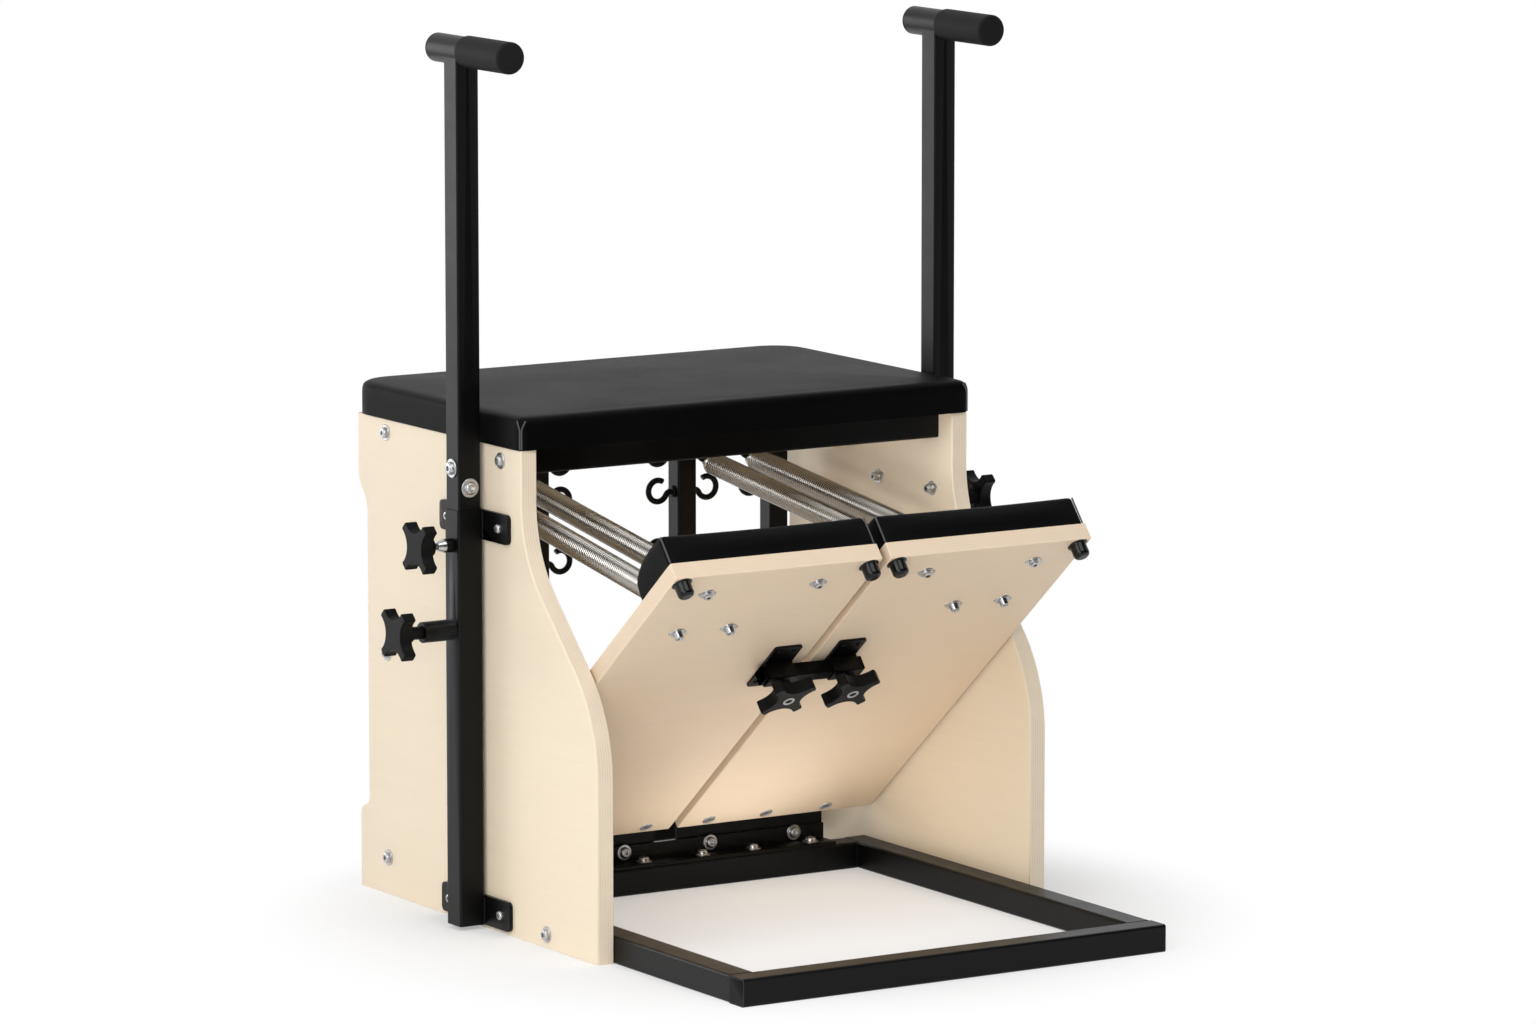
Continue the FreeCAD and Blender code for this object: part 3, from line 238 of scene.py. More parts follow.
class Finish(Nodes):
    """A material with one Principled shader, fed by expressions."""

    def __init__(self, name, **constants):
        self.material = bpy.data.materials.new(name)
        super().__init__(self.material)
        self.shader = self.tree.nodes["Principled BSDF"]
        self.material.diffuse_color = (0.5, 0.5, 0.5, 1)
        self.set(**constants)

    def set(self, **sockets):
        """Feed the shader's sockets; underscores in the names stand for blanks."""
        for name, value in sockets.items():
            socket = self.shader.inputs[name.replace("_", " ").title().replace("Ior", "IOR")]
            self.feed(socket, (*value, 1.0) if socket.type == "RGBA" and not isinstance(value, Value) else value)
        return self

    def place(self, matrix=None):
        """Object coordinates, or those of a piece laid flat by the given matrix."""
        spot = self.node("ShaderNodeTexCoord", output=3)
        if matrix is None:
            return spot
        laid = matrix.inverted()
        settings = {"vector_type": "POINT"}
        inputs = {"Vector": spot, "Location": laid.to_translation(), "Rotation": laid.to_euler()}
        return self.node("ShaderNodeMapping", settings, inputs)

    def stretch(self, spot, scale):
        return self.node("ShaderNodeVectorMath", {"operation": "MULTIPLY"}, {0: spot, 1: scale})

    def axis(self, spot, index):
        return self.node("ShaderNodeSeparateXYZ", inputs={0: spot}, output=index)

    def noise(self, spot, scale, detail=3.0, roughness=0.5):
        inputs = {"Vector": spot, "Scale": scale, "Detail": detail, "Roughness": roughness}
        return self.node("ShaderNodeTexNoise", inputs=inputs)

    def cell_edges(self, spot, scale):
        """Distance to the nearest edge of a pattern of cells."""
        settings = {"feature": "DISTANCE_TO_EDGE"}
        return self.node("ShaderNodeTexVoronoi", settings, {"Vector": spot, "Scale": scale})

    def mix(self, share, first, second):
        """Colour between two colours."""
        first = first if isinstance(first, Value) else (*first, 1.0)
        second = second if isinstance(second, Value) else (*second, 1.0)
        return self.node("ShaderNodeMix", {"data_type": "RGBA"}, {0: share, 6: first, 7: second}, output=2)

    def bump(self, height, strength, distance):
        inputs = {"Height": height, "Strength": strength, "Distance": distance}
        self.set(normal=self.node("ShaderNodeBump", inputs=inputs))
        return self


def palette():
    """Colours of the chair's finishes."""
    return bpy.context.scene.chair_finish


def shade(color, factor):
    return tuple(min(1.0, channel * factor) for channel in color)


def plywood(name, depth, matrix=None, grain=1, painted_shade=(1.0, 1.0, 1.0)):
    """Birch plywood. depth gives the way across the sheet at a spot, grain is the streaks' axis, and the colour scale
    given last darkens and warms the birch as painted shade.
    """
    colors = palette()
    # Birch colour, scaled down on the pedal boards as painted shade
    birch = tuple(channel * share for channel, share in zip(colors.birch, painted_shade))
    finish = Finish(name, specular_ior_level=0.42)
    spot = finish.place(matrix)
    through = depth(finish, spot)

    def streaks(across, along, detail, roughness):
        scale = [across] * 3
        scale[grain] = along
        return finish.noise(finish.stretch(spot, scale), 1.0, detail, roughness)

    fine = streaks(150.0, 5.0, 4.0, 0.6)
    bands = streaks(22.0, 1.6, 3.0, 0.55)
    pores = streaks(900.0, 45.0, 1.0, 0.5).step(0.66, 0.74)
    cloud = finish.noise(spot, 6.0, 2.0, 0.5)
    streak = (fine * 0.55 + bands * 0.45).step(0.34, 0.66)
    face = finish.mix(streak, shade(birch, 0.982), shade(birch, 1.012))
    face = finish.mix(cloud.step(0.35, 0.7) * 0.35, face, (*(shade(birch, 0.97)[:2]), birch[2] * 0.92))
    face = finish.mix(pores * 0.16, face, shade(birch, 0.8))
    layer = (through * (1 / PLY_PAIR)).fraction()
    dark = layer.step(0.06, 0.14) * (1 - layer.step(0.50, 0.58))
    glue = 1 - abs(layer - 0.56).step(0.0, 0.07)
    fibres = finish.noise(spot, 260.0, 3.0, 0.6)
    uneven = finish.noise(spot, 26.0, 3.0, 0.6).step(0.35, 0.65)
    core = finish.mix(dark * (0.2 + 0.5 * uneven), shade(birch, 0.95), colors.birch_core)
    core = finish.mix(glue * (0.08 + 0.3 * uneven * fibres), core, shade(colors.birch_core, 0.72))
    inside = through.least(PLY - through).step(0.0011, 0.0016)
    finish.set(base_color=finish.mix(inside, face, core))
    finish.set(roughness=0.40 + 0.10 * fine + 0.16 * inside)
    return finish.bump(fine * 0.3 + fibres * inside, 0.06, 0.0003)


def powder_coat():
    """Satin black powder coat with a fine orange peel."""
    colors = palette()
    finish = Finish("powder_coat", specular_ior_level=0.2)
    spot = finish.place()
    peel = finish.noise(spot, 1400.0, 2.0, 0.5)
    haze = finish.noise(spot, 35.0, 3.0, 0.6)
    finish.set(base_color=finish.mix(haze, shade(colors.powder_coat, 0.8), shade(colors.powder_coat, 1.35)))
    finish.set(roughness=0.34 + 0.12 * haze)
    return finish.bump(peel, 0.10, 0.0002)


def vinyl(name, matrix=None):
    """Black upholstery vinyl with a fine leather grain."""
    colors = palette()
    finish = Finish(name, specular_ior_level=0.055)
    spot = finish.place(matrix)
    warp = finish.noise(spot, 260.0, 2.0, 0.5)
    grain = finish.cell_edges(spot, 950.0)
    pebble = grain.step(0.02, 0.16)
    soft = finish.noise(spot, 14.0, 3.0, 0.6)
    finish.set(base_color=finish.mix(soft, shade(colors.vinyl, 0.85), shade(colors.vinyl, 1.3)))
    finish.set(roughness=0.45 + 0.10 * soft - 0.05 * pebble)
    return finish.bump(pebble + warp * 0.6, 0.30, 0.00025)


def plated(name, color, roughness, cloudy=1.0):
    """Plated metal with a cloudy, faintly brushed surface."""
    finish = Finish(name, metallic=1.0)
    spot = finish.place()
    cloud = finish.noise(spot, 160.0, 3.0, 0.6)
    fine = finish.noise(spot, 1800.0, 2.0, 0.6)
    finish.set(base_color=finish.mix(cloud, shade(color, 1 - 0.14 * cloudy), shade(color, 1 + 0.1 * cloudy)))
    finish.set(roughness=roughness + 0.16 * cloudy * (cloud - 0.5) + 0.06 * cloudy * fine)
    return finish.bump(fine, 0.05 * cloudy, 0.0002)


def moulded(name, color, roughness, texture=1100.0, depth=0.12, gloss=0.2):
    """Moulded plastic or rubber with a fine texture."""
    finish = Finish(name, specular_ior_level=gloss)
    spot = finish.place()
    pits = finish.noise(spot, texture, 2.0, 0.55)
    cloud = finish.noise(spot, 40.0, 2.0, 0.5)
    finish.set(base_color=finish.mix(cloud, shade(color, 0.85), shade(color, 1.2)))
    finish.set(roughness=roughness + 0.1 * (cloud - 0.5))
    return finish.bump(pits, depth, 0.00025)


def past(finish, spot, reach):
    """1 further out than the given distance from the middle plane, 0 nearer."""
    return abs(finish.axis(spot, 0)).step(reach - 0.0001, reach + 0.0001)


def black_and_zinc(name, reach):
    """Black near the mast and zinc plate further out than the given distance from the middle plane."""
    colors = palette()
    finish = Finish(name, specular_ior_level=0.2)
    spot = finish.place()
    out = past(finish, spot, reach)
    cloud = finish.noise(spot, 200.0, 2.0, 0.5)
    bright = finish.mix(cloud, shade(colors.zinc, 0.85), shade(colors.zinc, 1.1))
    finish.set(base_color=finish.mix(out, colors.powder_coat, bright))
    finish.set(metallic=out, roughness=0.42 - 0.16 * out)
    return finish.bump(cloud, 0.04, 0.0002)


def zinc_and_black(name, reach):
    """Zinc stud up to the given distance from the middle plane and black plastic beyond."""
    colors = palette()
    finish = Finish(name, specular_ior_level=0.1)
    spot = finish.place()
    out = past(finish, spot, reach)
    pits = finish.noise(spot, 1100.0, 2.0, 0.5)
    plastic = finish.mix(pits, shade(colors.knob_plastic, 0.85), shade(colors.knob_plastic, 1.2))
    finish.set(base_color=finish.mix(out, colors.zinc, plastic))
    finish.set(metallic=1 - out, roughness=0.26 + 0.2 * out)
    return finish.bump(pits, 0.10, 0.00025)


MADE = {}


def finish_of(key, make):
    """A finish that is made once and shared."""
    if key not in MADE:
        MADE[key] = make()
    return MADE[key].material


def zinc():
    return finish_of("zinc", lambda: plated("zinc_plate", palette().zinc, 0.27))


def nickel():
    return finish_of("nickel", lambda: plated("nickel_plate", palette().nickel, 0.2, 0.25))


def black_steel():
    return finish_of("steel", powder_coat)


def knob_plastic():
    return finish_of("knob", lambda: moulded("knob_plastic", palette().knob_plastic, 0.4, gloss=0.1))


# Grey finish of the seams: partly thread colour, partly painted highlight on the raised ridges
def seam_thread_highlight():
    return finish_of("seam", lambda: moulded("seam_thread_highlight", palette().thread_and_highlight, 0.4, 2400.0, 0.5))


def put(name, data):
    """New object in the scene."""
    made = bpy.data.objects.new(name, data)
    bpy.context.scene.collection.objects.link(made)
    return made


def applied(piece):
    """Mesh of an object with its modifiers applied."""
    bpy.context.view_layer.update()
    return bpy.data.meshes.new_from_object(piece.evaluated_get(bpy.context.evaluated_depsgraph_get()))


def merged(node):
    """Editable copy of a CAD node's mesh with its points joined."""
    shell = bmesh.new()
    shell.from_mesh(frame["nodes"][node].data)
    bmesh.ops.remove_doubles(shell, verts=shell.verts[:], dist=MERGE)
    return shell


def mesh_from(name, form):
    """Finished mesh from an editable one, which ends with it."""
    mesh = bpy.data.meshes.new(name)
    form.to_mesh(mesh)
    form.free()
    return mesh


def span(points, direction):
    """Least and greatest reach of points along a direction."""
    reach = [point.dot(direction) for point in points]
    return min(reach), max(reach)


def laid_box(points):
    """Lower and upper corner of points on a pedal, with the pedal laid flat."""
    flat = PEDAL.inverted()
    ends = [span([flat @ point for point in points], axis) for axis in Matrix.Identity(3)]
    return Vector([low for low, _ in ends]), Vector([high for _, high in ends])


def corners_of(node):
    """Points of a CAD node's mesh."""
    return [vert.co.copy() for vert in frame["nodes"][node].data.vertices]


def add_piece(name, mesh, material, body, slot, *nodes):
    """Put a finished mesh into the scene as a piece on a body that stands for the given nodes."""
    piece = put(name, mesh)
    mesh.materials.clear()
    mesh.materials.append(material)
    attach(piece, body)
    if nodes:
        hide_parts(*nodes)
    return piece


def sharpen(mesh, degrees=FORM_CREASE):
    """Smooth shading with sharp edges where faces meet at more than the angle."""
    mesh.shade_smooth()
    mesh.set_sharp_from_angle(angle=math.radians(degrees))
    return mesh


def dress(node, material):
    """A merged, smoothly shaded copy of a CAD node with its finish."""
    mesh = mesh_from(node + "_finish", merged(node))
    piece = add_piece(node + "_finish", sharpen(mesh, CAD_CREASE), material, BODY_OF[node], SLOT_OF[node], node)
    weighted = piece.modifiers.new("even_flats", "WEIGHTED_NORMAL")
    weighted.weight = 100
    weighted.keep_sharp = True
    return piece


def shape(build):
    """Mesh of one small form: build adds to an empty bmesh."""
    form = bmesh.new()
    build(form)
    bmesh.ops.remove_doubles(form, verts=form.verts[:], dist=MERGE)
    bmesh.ops.recalc_face_normals(form, faces=form.faces[:])
    return sharpen(mesh_from("form", form))


def verts_of(items):
    """The vertices among mesh items."""
    return [item for item in items if isinstance(item, bmesh.types.BMVert)]


def edges_of(items):
    """The edges among mesh items."""
    return [item for item in items if isinstance(item, bmesh.types.BMEdge)]


def bevelled(form, items, width, segments, affect="EDGES"):
    """Round edges or corners off."""
    bmesh.ops.bevel(
        form, geom=items, offset=width, offset_type="OFFSET", segments=segments, profile=0.5, affect=affect,
        material=-1)


def cut_at(form, place, normal, **cleared):
    """Cut a form with a plane, clear one side and give the edges of the cut."""
    every = form.verts[:] + form.edges[:] + form.faces[:]
    return edges_of(bmesh.ops.bisect_plane(form, geom=every, plane_co=place, plane_no=normal, **cleared)["geom_cut"])


def spun(form, profile, steps=HEAD_STEPS):
    """Turn a profile of (radius, height) points about Z."""
    points = [form.verts.new((radius, 0, height)) for radius, height in profile]
    lines = [form.edges.new(pair) for pair in zip(points, points[1:])]
    bmesh.ops.spin(
        form, geom=points + lines, cent=(0, 0, 0), axis=(0, 0, 1), angle=2 * math.pi, steps=steps, use_merge=True)


def socket_head(form, rim_r, rim_z, key_r, depth):
    """Close a round top with a hexagonal socket."""
    level = Matrix.Translation((0, 0, rim_z))
    rim = bmesh.ops.create_circle(form, segments=HEAD_STEPS, radius=rim_r, matrix=level)["verts"]
    key = bmesh.ops.create_circle(form, segments=HEAD_STEPS, radius=key_r, matrix=level)["verts"]
    for vert in key:
        corner = math.atan2(vert.co.y, vert.co.x) % (math.pi / 3) - math.pi / 6
        vert.co.xy *= math.cos(math.pi / 6) / math.cos(corner)
    rim_edges = list({edge for vert in rim for edge in vert.link_edges})
    key_edges = list({edge for vert in key for edge in vert.link_edges})
    wall = bmesh.ops.extrude_edge_only(form, edges=key_edges)["geom"]
    floor = verts_of(wall)
    bottom = [edge for edge in edges_of(wall) if set(edge.verts) <= set(floor)]
    bmesh.ops.translate(form, verts=floor, vec=(0, 0, -depth))
    bmesh.ops.contextual_create(form, geom=bottom)
    bmesh.ops.bridge_loops(form, edges=rim_edges + key_edges)


def button_bolt(washer_r, head_r, height, washer, key_r):
    """Button head with a hexagonal socket on a washer, along +Z from its seat."""

    def build(form):
        edge = washer * 0.3
        profile = [(washer_r, 0), (washer_r, washer - edge), (washer_r - edge, washer), (head_r, washer)]
        if washer == 0:
            profile = [(head_r, 0)]
        top_r = key_r * 1.45
        for share in (0.2, 0.45, 0.65, 0.82, 0.94, 1.0):
            r = top_r + (head_r - top_r) * math.cos(share * math.pi / 2)
            profile.append((r, washer + height * (0.12 + 0.88 * math.sin(share * math.pi / 2))))
        spun(form, profile)
        socket_head(form, top_r, washer + height, key_r, height * 0.7)

    return shape(build)


def eared_nut(tall):
    """Flanged nut with two pierced ears and a standing end with a socket, along +Z from its seat."""

    flange_r, ear_r, plate, rivet_r = 0.0086, 0.0031, 0.0012, 0.0013

    def build(form):
        flange = bmesh.ops.create_circle(form, cap_ends=True, segments=2 * HEAD_STEPS, radius=flange_r)
        for vert in flange["verts"]:
            across = vert.co.y
            if abs(across) < ear_r:
                reach = math.sqrt(flange_r ** 2 - across ** 2) + math.sqrt(ear_r ** 2 - across ** 2)
                vert.co.xy *= reach / flange_r
        lifted = verts_of(bmesh.ops.extrude_face_region(form, geom=form.faces[:])["geom"])
        bmesh.ops.translate(form, verts=lifted, vec=(0, 0, plate))
        bmesh.ops.scale(form, verts=lifted, vec=(0.97, 0.96, 1.0))
        stand = [(0.0060, 0.0010), (0.0057, 0.0020), (0.0050, 0.0026), (0.0050, tall - 0.0008), (0.0042, tall)]
        spun(form, stand)
        socket_head(form, 0.0042, tall, 0.0027, 0.004)
        for side in (-1, 1):
            rivet = Matrix.Translation((side * 0.0096, 0, 0.0010)) @ Matrix.Diagonal((1, 1, 0.5, 1))
            bmesh.ops.create_icosphere(form, subdivisions=2, radius=rivet_r, matrix=rivet)

    return shape(build)


def flush_insert():
    """Flat flanged insert with a recessed socket, along +Z from its seat."""

    def build(form):
        profile = [(0.0080, 0), (0.0080, 0.0006), (0.0074, 0.0011), (0.0060, 0.0012), (0.0056, 0.0008)]
        spun(form, profile)
        socket_head(form, 0.0056, 0.0008, 0.0036, 0.005)

    return shape(build)


def knob_insert():
    """Bright ring of the insert in the middle of a star knob, along +Z from the star's face."""

    def build(form):
        spun(form, [(0.0070, -0.001), (0.0070, 0.0004), (0.0066, 0.0008), (0.0048, 0.0008), (0.0044, 0.0004),
                    (0.0044, -0.001)], 32)

    return shape(build)


def aim(place, direction, twist=0.0):
    """Matrix that puts a form's +Z along a direction at a place."""
    turn = Vector(direction).to_track_quat("Z", "Y").to_matrix().to_4x4()
    return Matrix.Translation(place) @ turn @ Matrix.Rotation(twist, 4, "Z")


def add_copies(name, copies, material, body, slot, *nodes):
    """Put several placed forms into the scene as one piece."""
    whole = bmesh.new()
    for mesh, matrix in copies:
        before = len(whole.verts)
        whole.from_mesh(mesh)
        whole.verts.ensure_lookup_table()
        bmesh.ops.transform(whole, matrix=matrix, verts=whole.verts[before:])
    return add_piece(name, sharpen(mesh_from(name, whole)), material, body, slot, *nodes)


def islands(node):
    """Corner points of each separate solid in a CAD node."""
    shell = merged(node)
    left = set(shell.verts)
    found = []
    while left:
        queue = [left.pop()]
        group = []
        while queue:
            vert = queue.pop()
            group.append(vert.co.copy())
            near = {edge.other_vert(vert) for edge in vert.link_edges} & left
            left -= near
            queue += near
        found.append(group)
    shell.free()
    return found


def seat_of(points, direction):
    """Where a fastener seats: the middle of its points, at their lowest along the direction."""
    centre = Vector()
    for basis in perpendicular(direction):
        centre += basis * sum(span(points, basis)) / 2
    return centre + direction * span(points, direction)[0]


def perpendicular(direction):
    """Two unit vectors square to a direction."""
    first = direction.orthogonal().normalized()
    return first, direction.cross(first).normalized()


def outward(points):
    """Direction in which an axis-aligned fastener stands out of the frame."""
    ends = [span(points, axis) for axis in Matrix.Identity(3)]
    spans = [high - low for low, high in ends]
    flat = spans.index(min(spans))
    middle = sum(points, Vector()) / len(points)
    away = math.copysign(1, middle.x) * (1 if abs(middle.x) > PANEL_IN else -1)
    return (Vector((away, 0, 0)), Vector((0, -1, 0)), Vector((0, 0, 1)))[flat]


def width_of(points, direction):
    low, high = span(points, perpendicular(direction)[0])
    return high - low


def strand(points, radius):
    """Mesh of a thin round strand through points."""
    curve = bpy.data.curves.new("strand", "CURVE")
    curve.dimensions = "3D"
    curve.bevel_depth = radius
    curve.bevel_resolution = 2
    curve.use_fill_caps = True
    spline = curve.splines.new("POLY")
    spline.points.add(len(points) - 1)
    for slot, point in zip(spline.points, points):
        slot.co = (*point, 1)
    holder = put("strand", curve)
    mesh = applied(holder)
    bpy.data.objects.remove(holder)
    bpy.data.curves.remove(curve)
    return mesh


def swollen(mesh, voxel, pressure, cap, give, floor):
    """Fill a closed form like a stuffed cover: remesh it, let cloth swell up to a cap, and cut it flat below.

    give tells what share of the cap a spot may move, and 0 holds it.
    """
    pad = put("swelling", mesh)
    remesh = pad.modifiers.new("even", "REMESH")
    remesh.mode = "VOXEL"
    remesh.voxel_size = voxel
    even = applied(pad)
    pad.modifiers.clear()
    pad.data = even
    rest = [vert.co.copy() for vert in even.vertices]
    group = pad.vertex_groups.new(name="held")
    group.add([vert.index for vert in even.vertices if give(vert.co) == 0], 1.0, "REPLACE")
    cloth = pad.modifiers.new("cover", "CLOTH")
    for name, value in COVER_CLOTH.items():
        setattr(cloth.settings, name, value)
    cloth.settings.uniform_pressure_force = pressure
    cloth.settings.effector_weights.gravity = 0
    cloth.collision_settings.use_collision = False
    cloth.collision_settings.use_self_collision = False
    scene = bpy.context.scene
    for step in range(1, COVER_FRAMES + 1):
        scene.frame_set(step)
    moved = applied(pad)
    for vert, start, target in zip(even.vertices, rest, moved.vertices):
        shift = target.co - start
        vert.co = start + shift * min(1.0, cap * give(start) / max(shift.length, 1e-9))
    bpy.data.meshes.remove(moved)
    pad.modifiers.clear()
    scene.frame_set(1)
    smooth = pad.modifiers.new("relax", "SMOOTH")
    smooth.factor = 0.5
    smooth.iterations = 2
    finer = pad.modifiers.new("finer", "SUBSURF")
    finer.levels = 1
    finer.render_levels = 1
    done = applied(pad)
    bpy.data.objects.remove(pad)
    whole = bmesh.new()
    whole.from_mesh(done)
    rim = cut_at(whole, (0, 0, floor), (0, 0, 1), clear_inner=True)
    bmesh.ops.contextual_create(whole, geom=rim)
    whole.to_mesh(done)
    whole.free()
    return sharpen(done, PAD_CREASE)


def rounded_block(low, high, corners, edge):
    """Closed block with its own radius at each upright corner and soft upper edges."""

    def build(form):
        base = bmesh.ops.create_grid(form, x_segments=1, y_segments=1, size=0.5)
        size = high - low
        for vert in base["verts"]:
            vert.co = Vector((low.x + (vert.co.x + 0.5) * size.x, low.y + (vert.co.y + 0.5) * size.y, low.z))
        for (at_right, at_rear), radius in corners.items():
            x = high.x if at_right else low.x
            y = high.y if at_rear else low.y
            spot = [vert for vert in form.verts if abs(vert.co.x - x) < 1e-5 and abs(vert.co.y - y) < 1e-5]
            bevelled(form, spot, radius, 8, "VERTICES")
        lifted = verts_of(bmesh.ops.extrude_face_region(form, geom=form.faces[:])["geom"])
        bmesh.ops.translate(form, verts=lifted, vec=(0, 0, size.z))
        crest = [item for item in form.edges if all(vert in lifted for vert in item.verts)]
        bevelled(form, crest, edge, 4)

    return shape(build)


class CHAIR_OT_plywood(bpy.types.Operator):
    """Give the panels and the boards their birch plywood"""

    bl_idname = "chair.plywood"
    bl_label = "Plywood"

    def execute(self, context):
        panels = plywood("birch_panels", lambda f, s: abs(f.axis(s, 0)) - PANEL_IN, None, 1).material
        # The pedal boards' birch is darkened and warmed as painted shade, standing in for the shade on their
        # undersides, which face down and away from the lamps.
        boards = plywood(
            "birch_pedals", lambda f, s: f.axis(s, 2) - BOARD_UNDER, PEDAL, 0, (0.96, 0.90, 0.855)).material
        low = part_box("seat_board")[0].z
        seat = plywood("birch_seat", lambda f, s: f.axis(s, 2) - low, None, 0).material
        for name in SIDES:
            dress(name + "_panel", panels)
            dress(name + "_pedal_board", boards)
        dress("seat_board", seat)
        return {"FINISHED"}


class CHAIR_OT_steelwork(bpy.types.Operator):
    """Powder coat the tubes, masts, hooks and brackets, and add the weld beads"""

    bl_idname = "chair.steelwork"
    bl_label = "Steelwork"

    def execute(self, context):
        coat = black_steel()
        for node, slot in SLOT_OF.items():
            if slot == "black_steel" and "handle" not in node:
                dress(node, coat)
        dress("front_rail_caps", knob_plastic())
        self.welds(coat)
        return {"FINISHED"}

    def welds(self, coat):
        """Rippled beads in the base frame's inner corners, round the spring posts' feet and along the masts' plates."""
        bead = shape(lambda form: bmesh.ops.create_icosphere(form, subdivisions=2, radius=0.0021))
        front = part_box("base_front_rail")
        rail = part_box("right_base_rail")
        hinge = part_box("base_hinge_rail")
        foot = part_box("inner_spring_posts")
        half_post, outer_post = 0.0127, 0.229
        plate_in, plate_half, plate_long, plate_drop = 0.0312, 0.0165, 0.028, 0.031
        sunk = 0.0006
        rows = []
        for side in (-1, 1):
            for y, inward in ((front[1].y, 1), (hinge[0].y, -1)):
                place = Vector((side * (rail[0].x - sunk), y + inward * sunk, 0))
                turn = aim((0, 0, 0), (side, inward, 0.5)) @ Matrix.Diagonal((1, 0.8, 0.6, 1))
                low, high = (Vector((0, 0, front[1].z * share)) for share in (0.10, 0.90))
                rows.append((place + low, place + high, 13, turn))
        for x in (foot[1].x - half_post, outer_post):
            for side in (-1, 1):
                place = Vector((side * x, foot[0].y - 0.0004, foot[0].z + sunk))
                reach = Vector((half_post, 0, 0))
                rows.append((place - reach, place + reach, 11, Matrix.Diagonal((0.8, 0.6, 0.8, 1))))
        for name, side in SIDES.items():
            face = Vector(JOINT[name + "_clamp_knob_turn"]["pos_m"])
            low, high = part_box(name + "_mast_sleeve")
            for z in (low.z + 0.003, high.z - plate_drop):
                for ahead in (-plate_half, plate_half):
                    place = Vector((face.x - side * plate_in, face.y + ahead, z))
                    rise = Vector((0, 0, plate_long))
                    rows.append((place, place + rise, 14, Matrix.Diagonal((0.8, 0.8, 0.7, 1))))
        copies = []
        for first, last, count, form in rows:
            for step in range(count):
                copies.append((bead, Matrix.Translation(first.lerp(last, step / (count - 1))) @ form))
        add_copies("weld_beads", copies, coat, "frame", "black_steel")


class CHAIR_OT_seat_pad(bpy.types.Operator):
    """Make the stuffed seat pad and its sewn corners"""

    bl_idname = "chair.seat_pad"
    bl_label = "Seat pad"

    # How far the cover stays inside the CAD pad, and the radius of its front and rear corners
    slim = 0.0006
    front_r = 0.009
    rear_r = 0.048

    def execute(self, context):
        sizes = context.scene.chair_sizes
        low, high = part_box("seat_pad")
        slim = Vector((self.slim, self.slim, 0))
        radii = (False, self.front_r), (True, self.rear_r)
        corners = {(at_right, at_rear): radius for at_rear, radius in radii for at_right in (False, True)}
        base_low = low + slim - Vector((0, 0, 0.015))
        base_high = high - slim - Vector((0, 0, 0.0022))
        block = rounded_block(base_low, base_high, corners, 0.008)
        held_edge, held_foot, crown_run = 0.010, 0.008, 0.16

        def give(spot):
            inward = min(spot.x - low.x, high.x - spot.x, spot.y - low.y, high.y - spot.y) - held_edge
            share = min(1.0, max(0.0, inward / crown_run))
            return 0 if spot.z < low.z + held_foot else 1 - (1 - share) ** 2

        mesh = swollen(block, sizes.voxel, 2.2, sizes.crown, give, low.z)
        cover = vinyl("seat_vinyl").material
        pad = add_piece("seat_pad_cover", mesh, cover, "frame", "vinyl", "seat_pad")
        self.corner_seams(low, high, sizes.seam)
        return {"FINISHED"}

    def corner_seams(self, low, high, radius):
        """Two raised edges up each front corner that part at the top."""
        copies = []
        inset = self.slim + self.front_r
        for side in (-1, 1):
            for lean in (-1, 1):
                points = []
                for step in range(13):
                    part = max(0.0, step - 8) / 4
                    turn = math.pi / 4 + lean * (0.12 + 0.6 * part ** 1.5)
                    reach = self.front_r - 0.0018 * part ** 2
                    x = side * (high.x - inset + reach * math.cos(turn))
                    y = low.y + inset - reach * math.sin(turn)
                    points.append((x, y, low.z + 0.001 + (high.z - 0.0075 - low.z) * step / 12))
                copies.append((strand(points, radius), Matrix()))
        add_copies("seat_corner_seams", copies, seam_thread_highlight(), "frame", "vinyl")


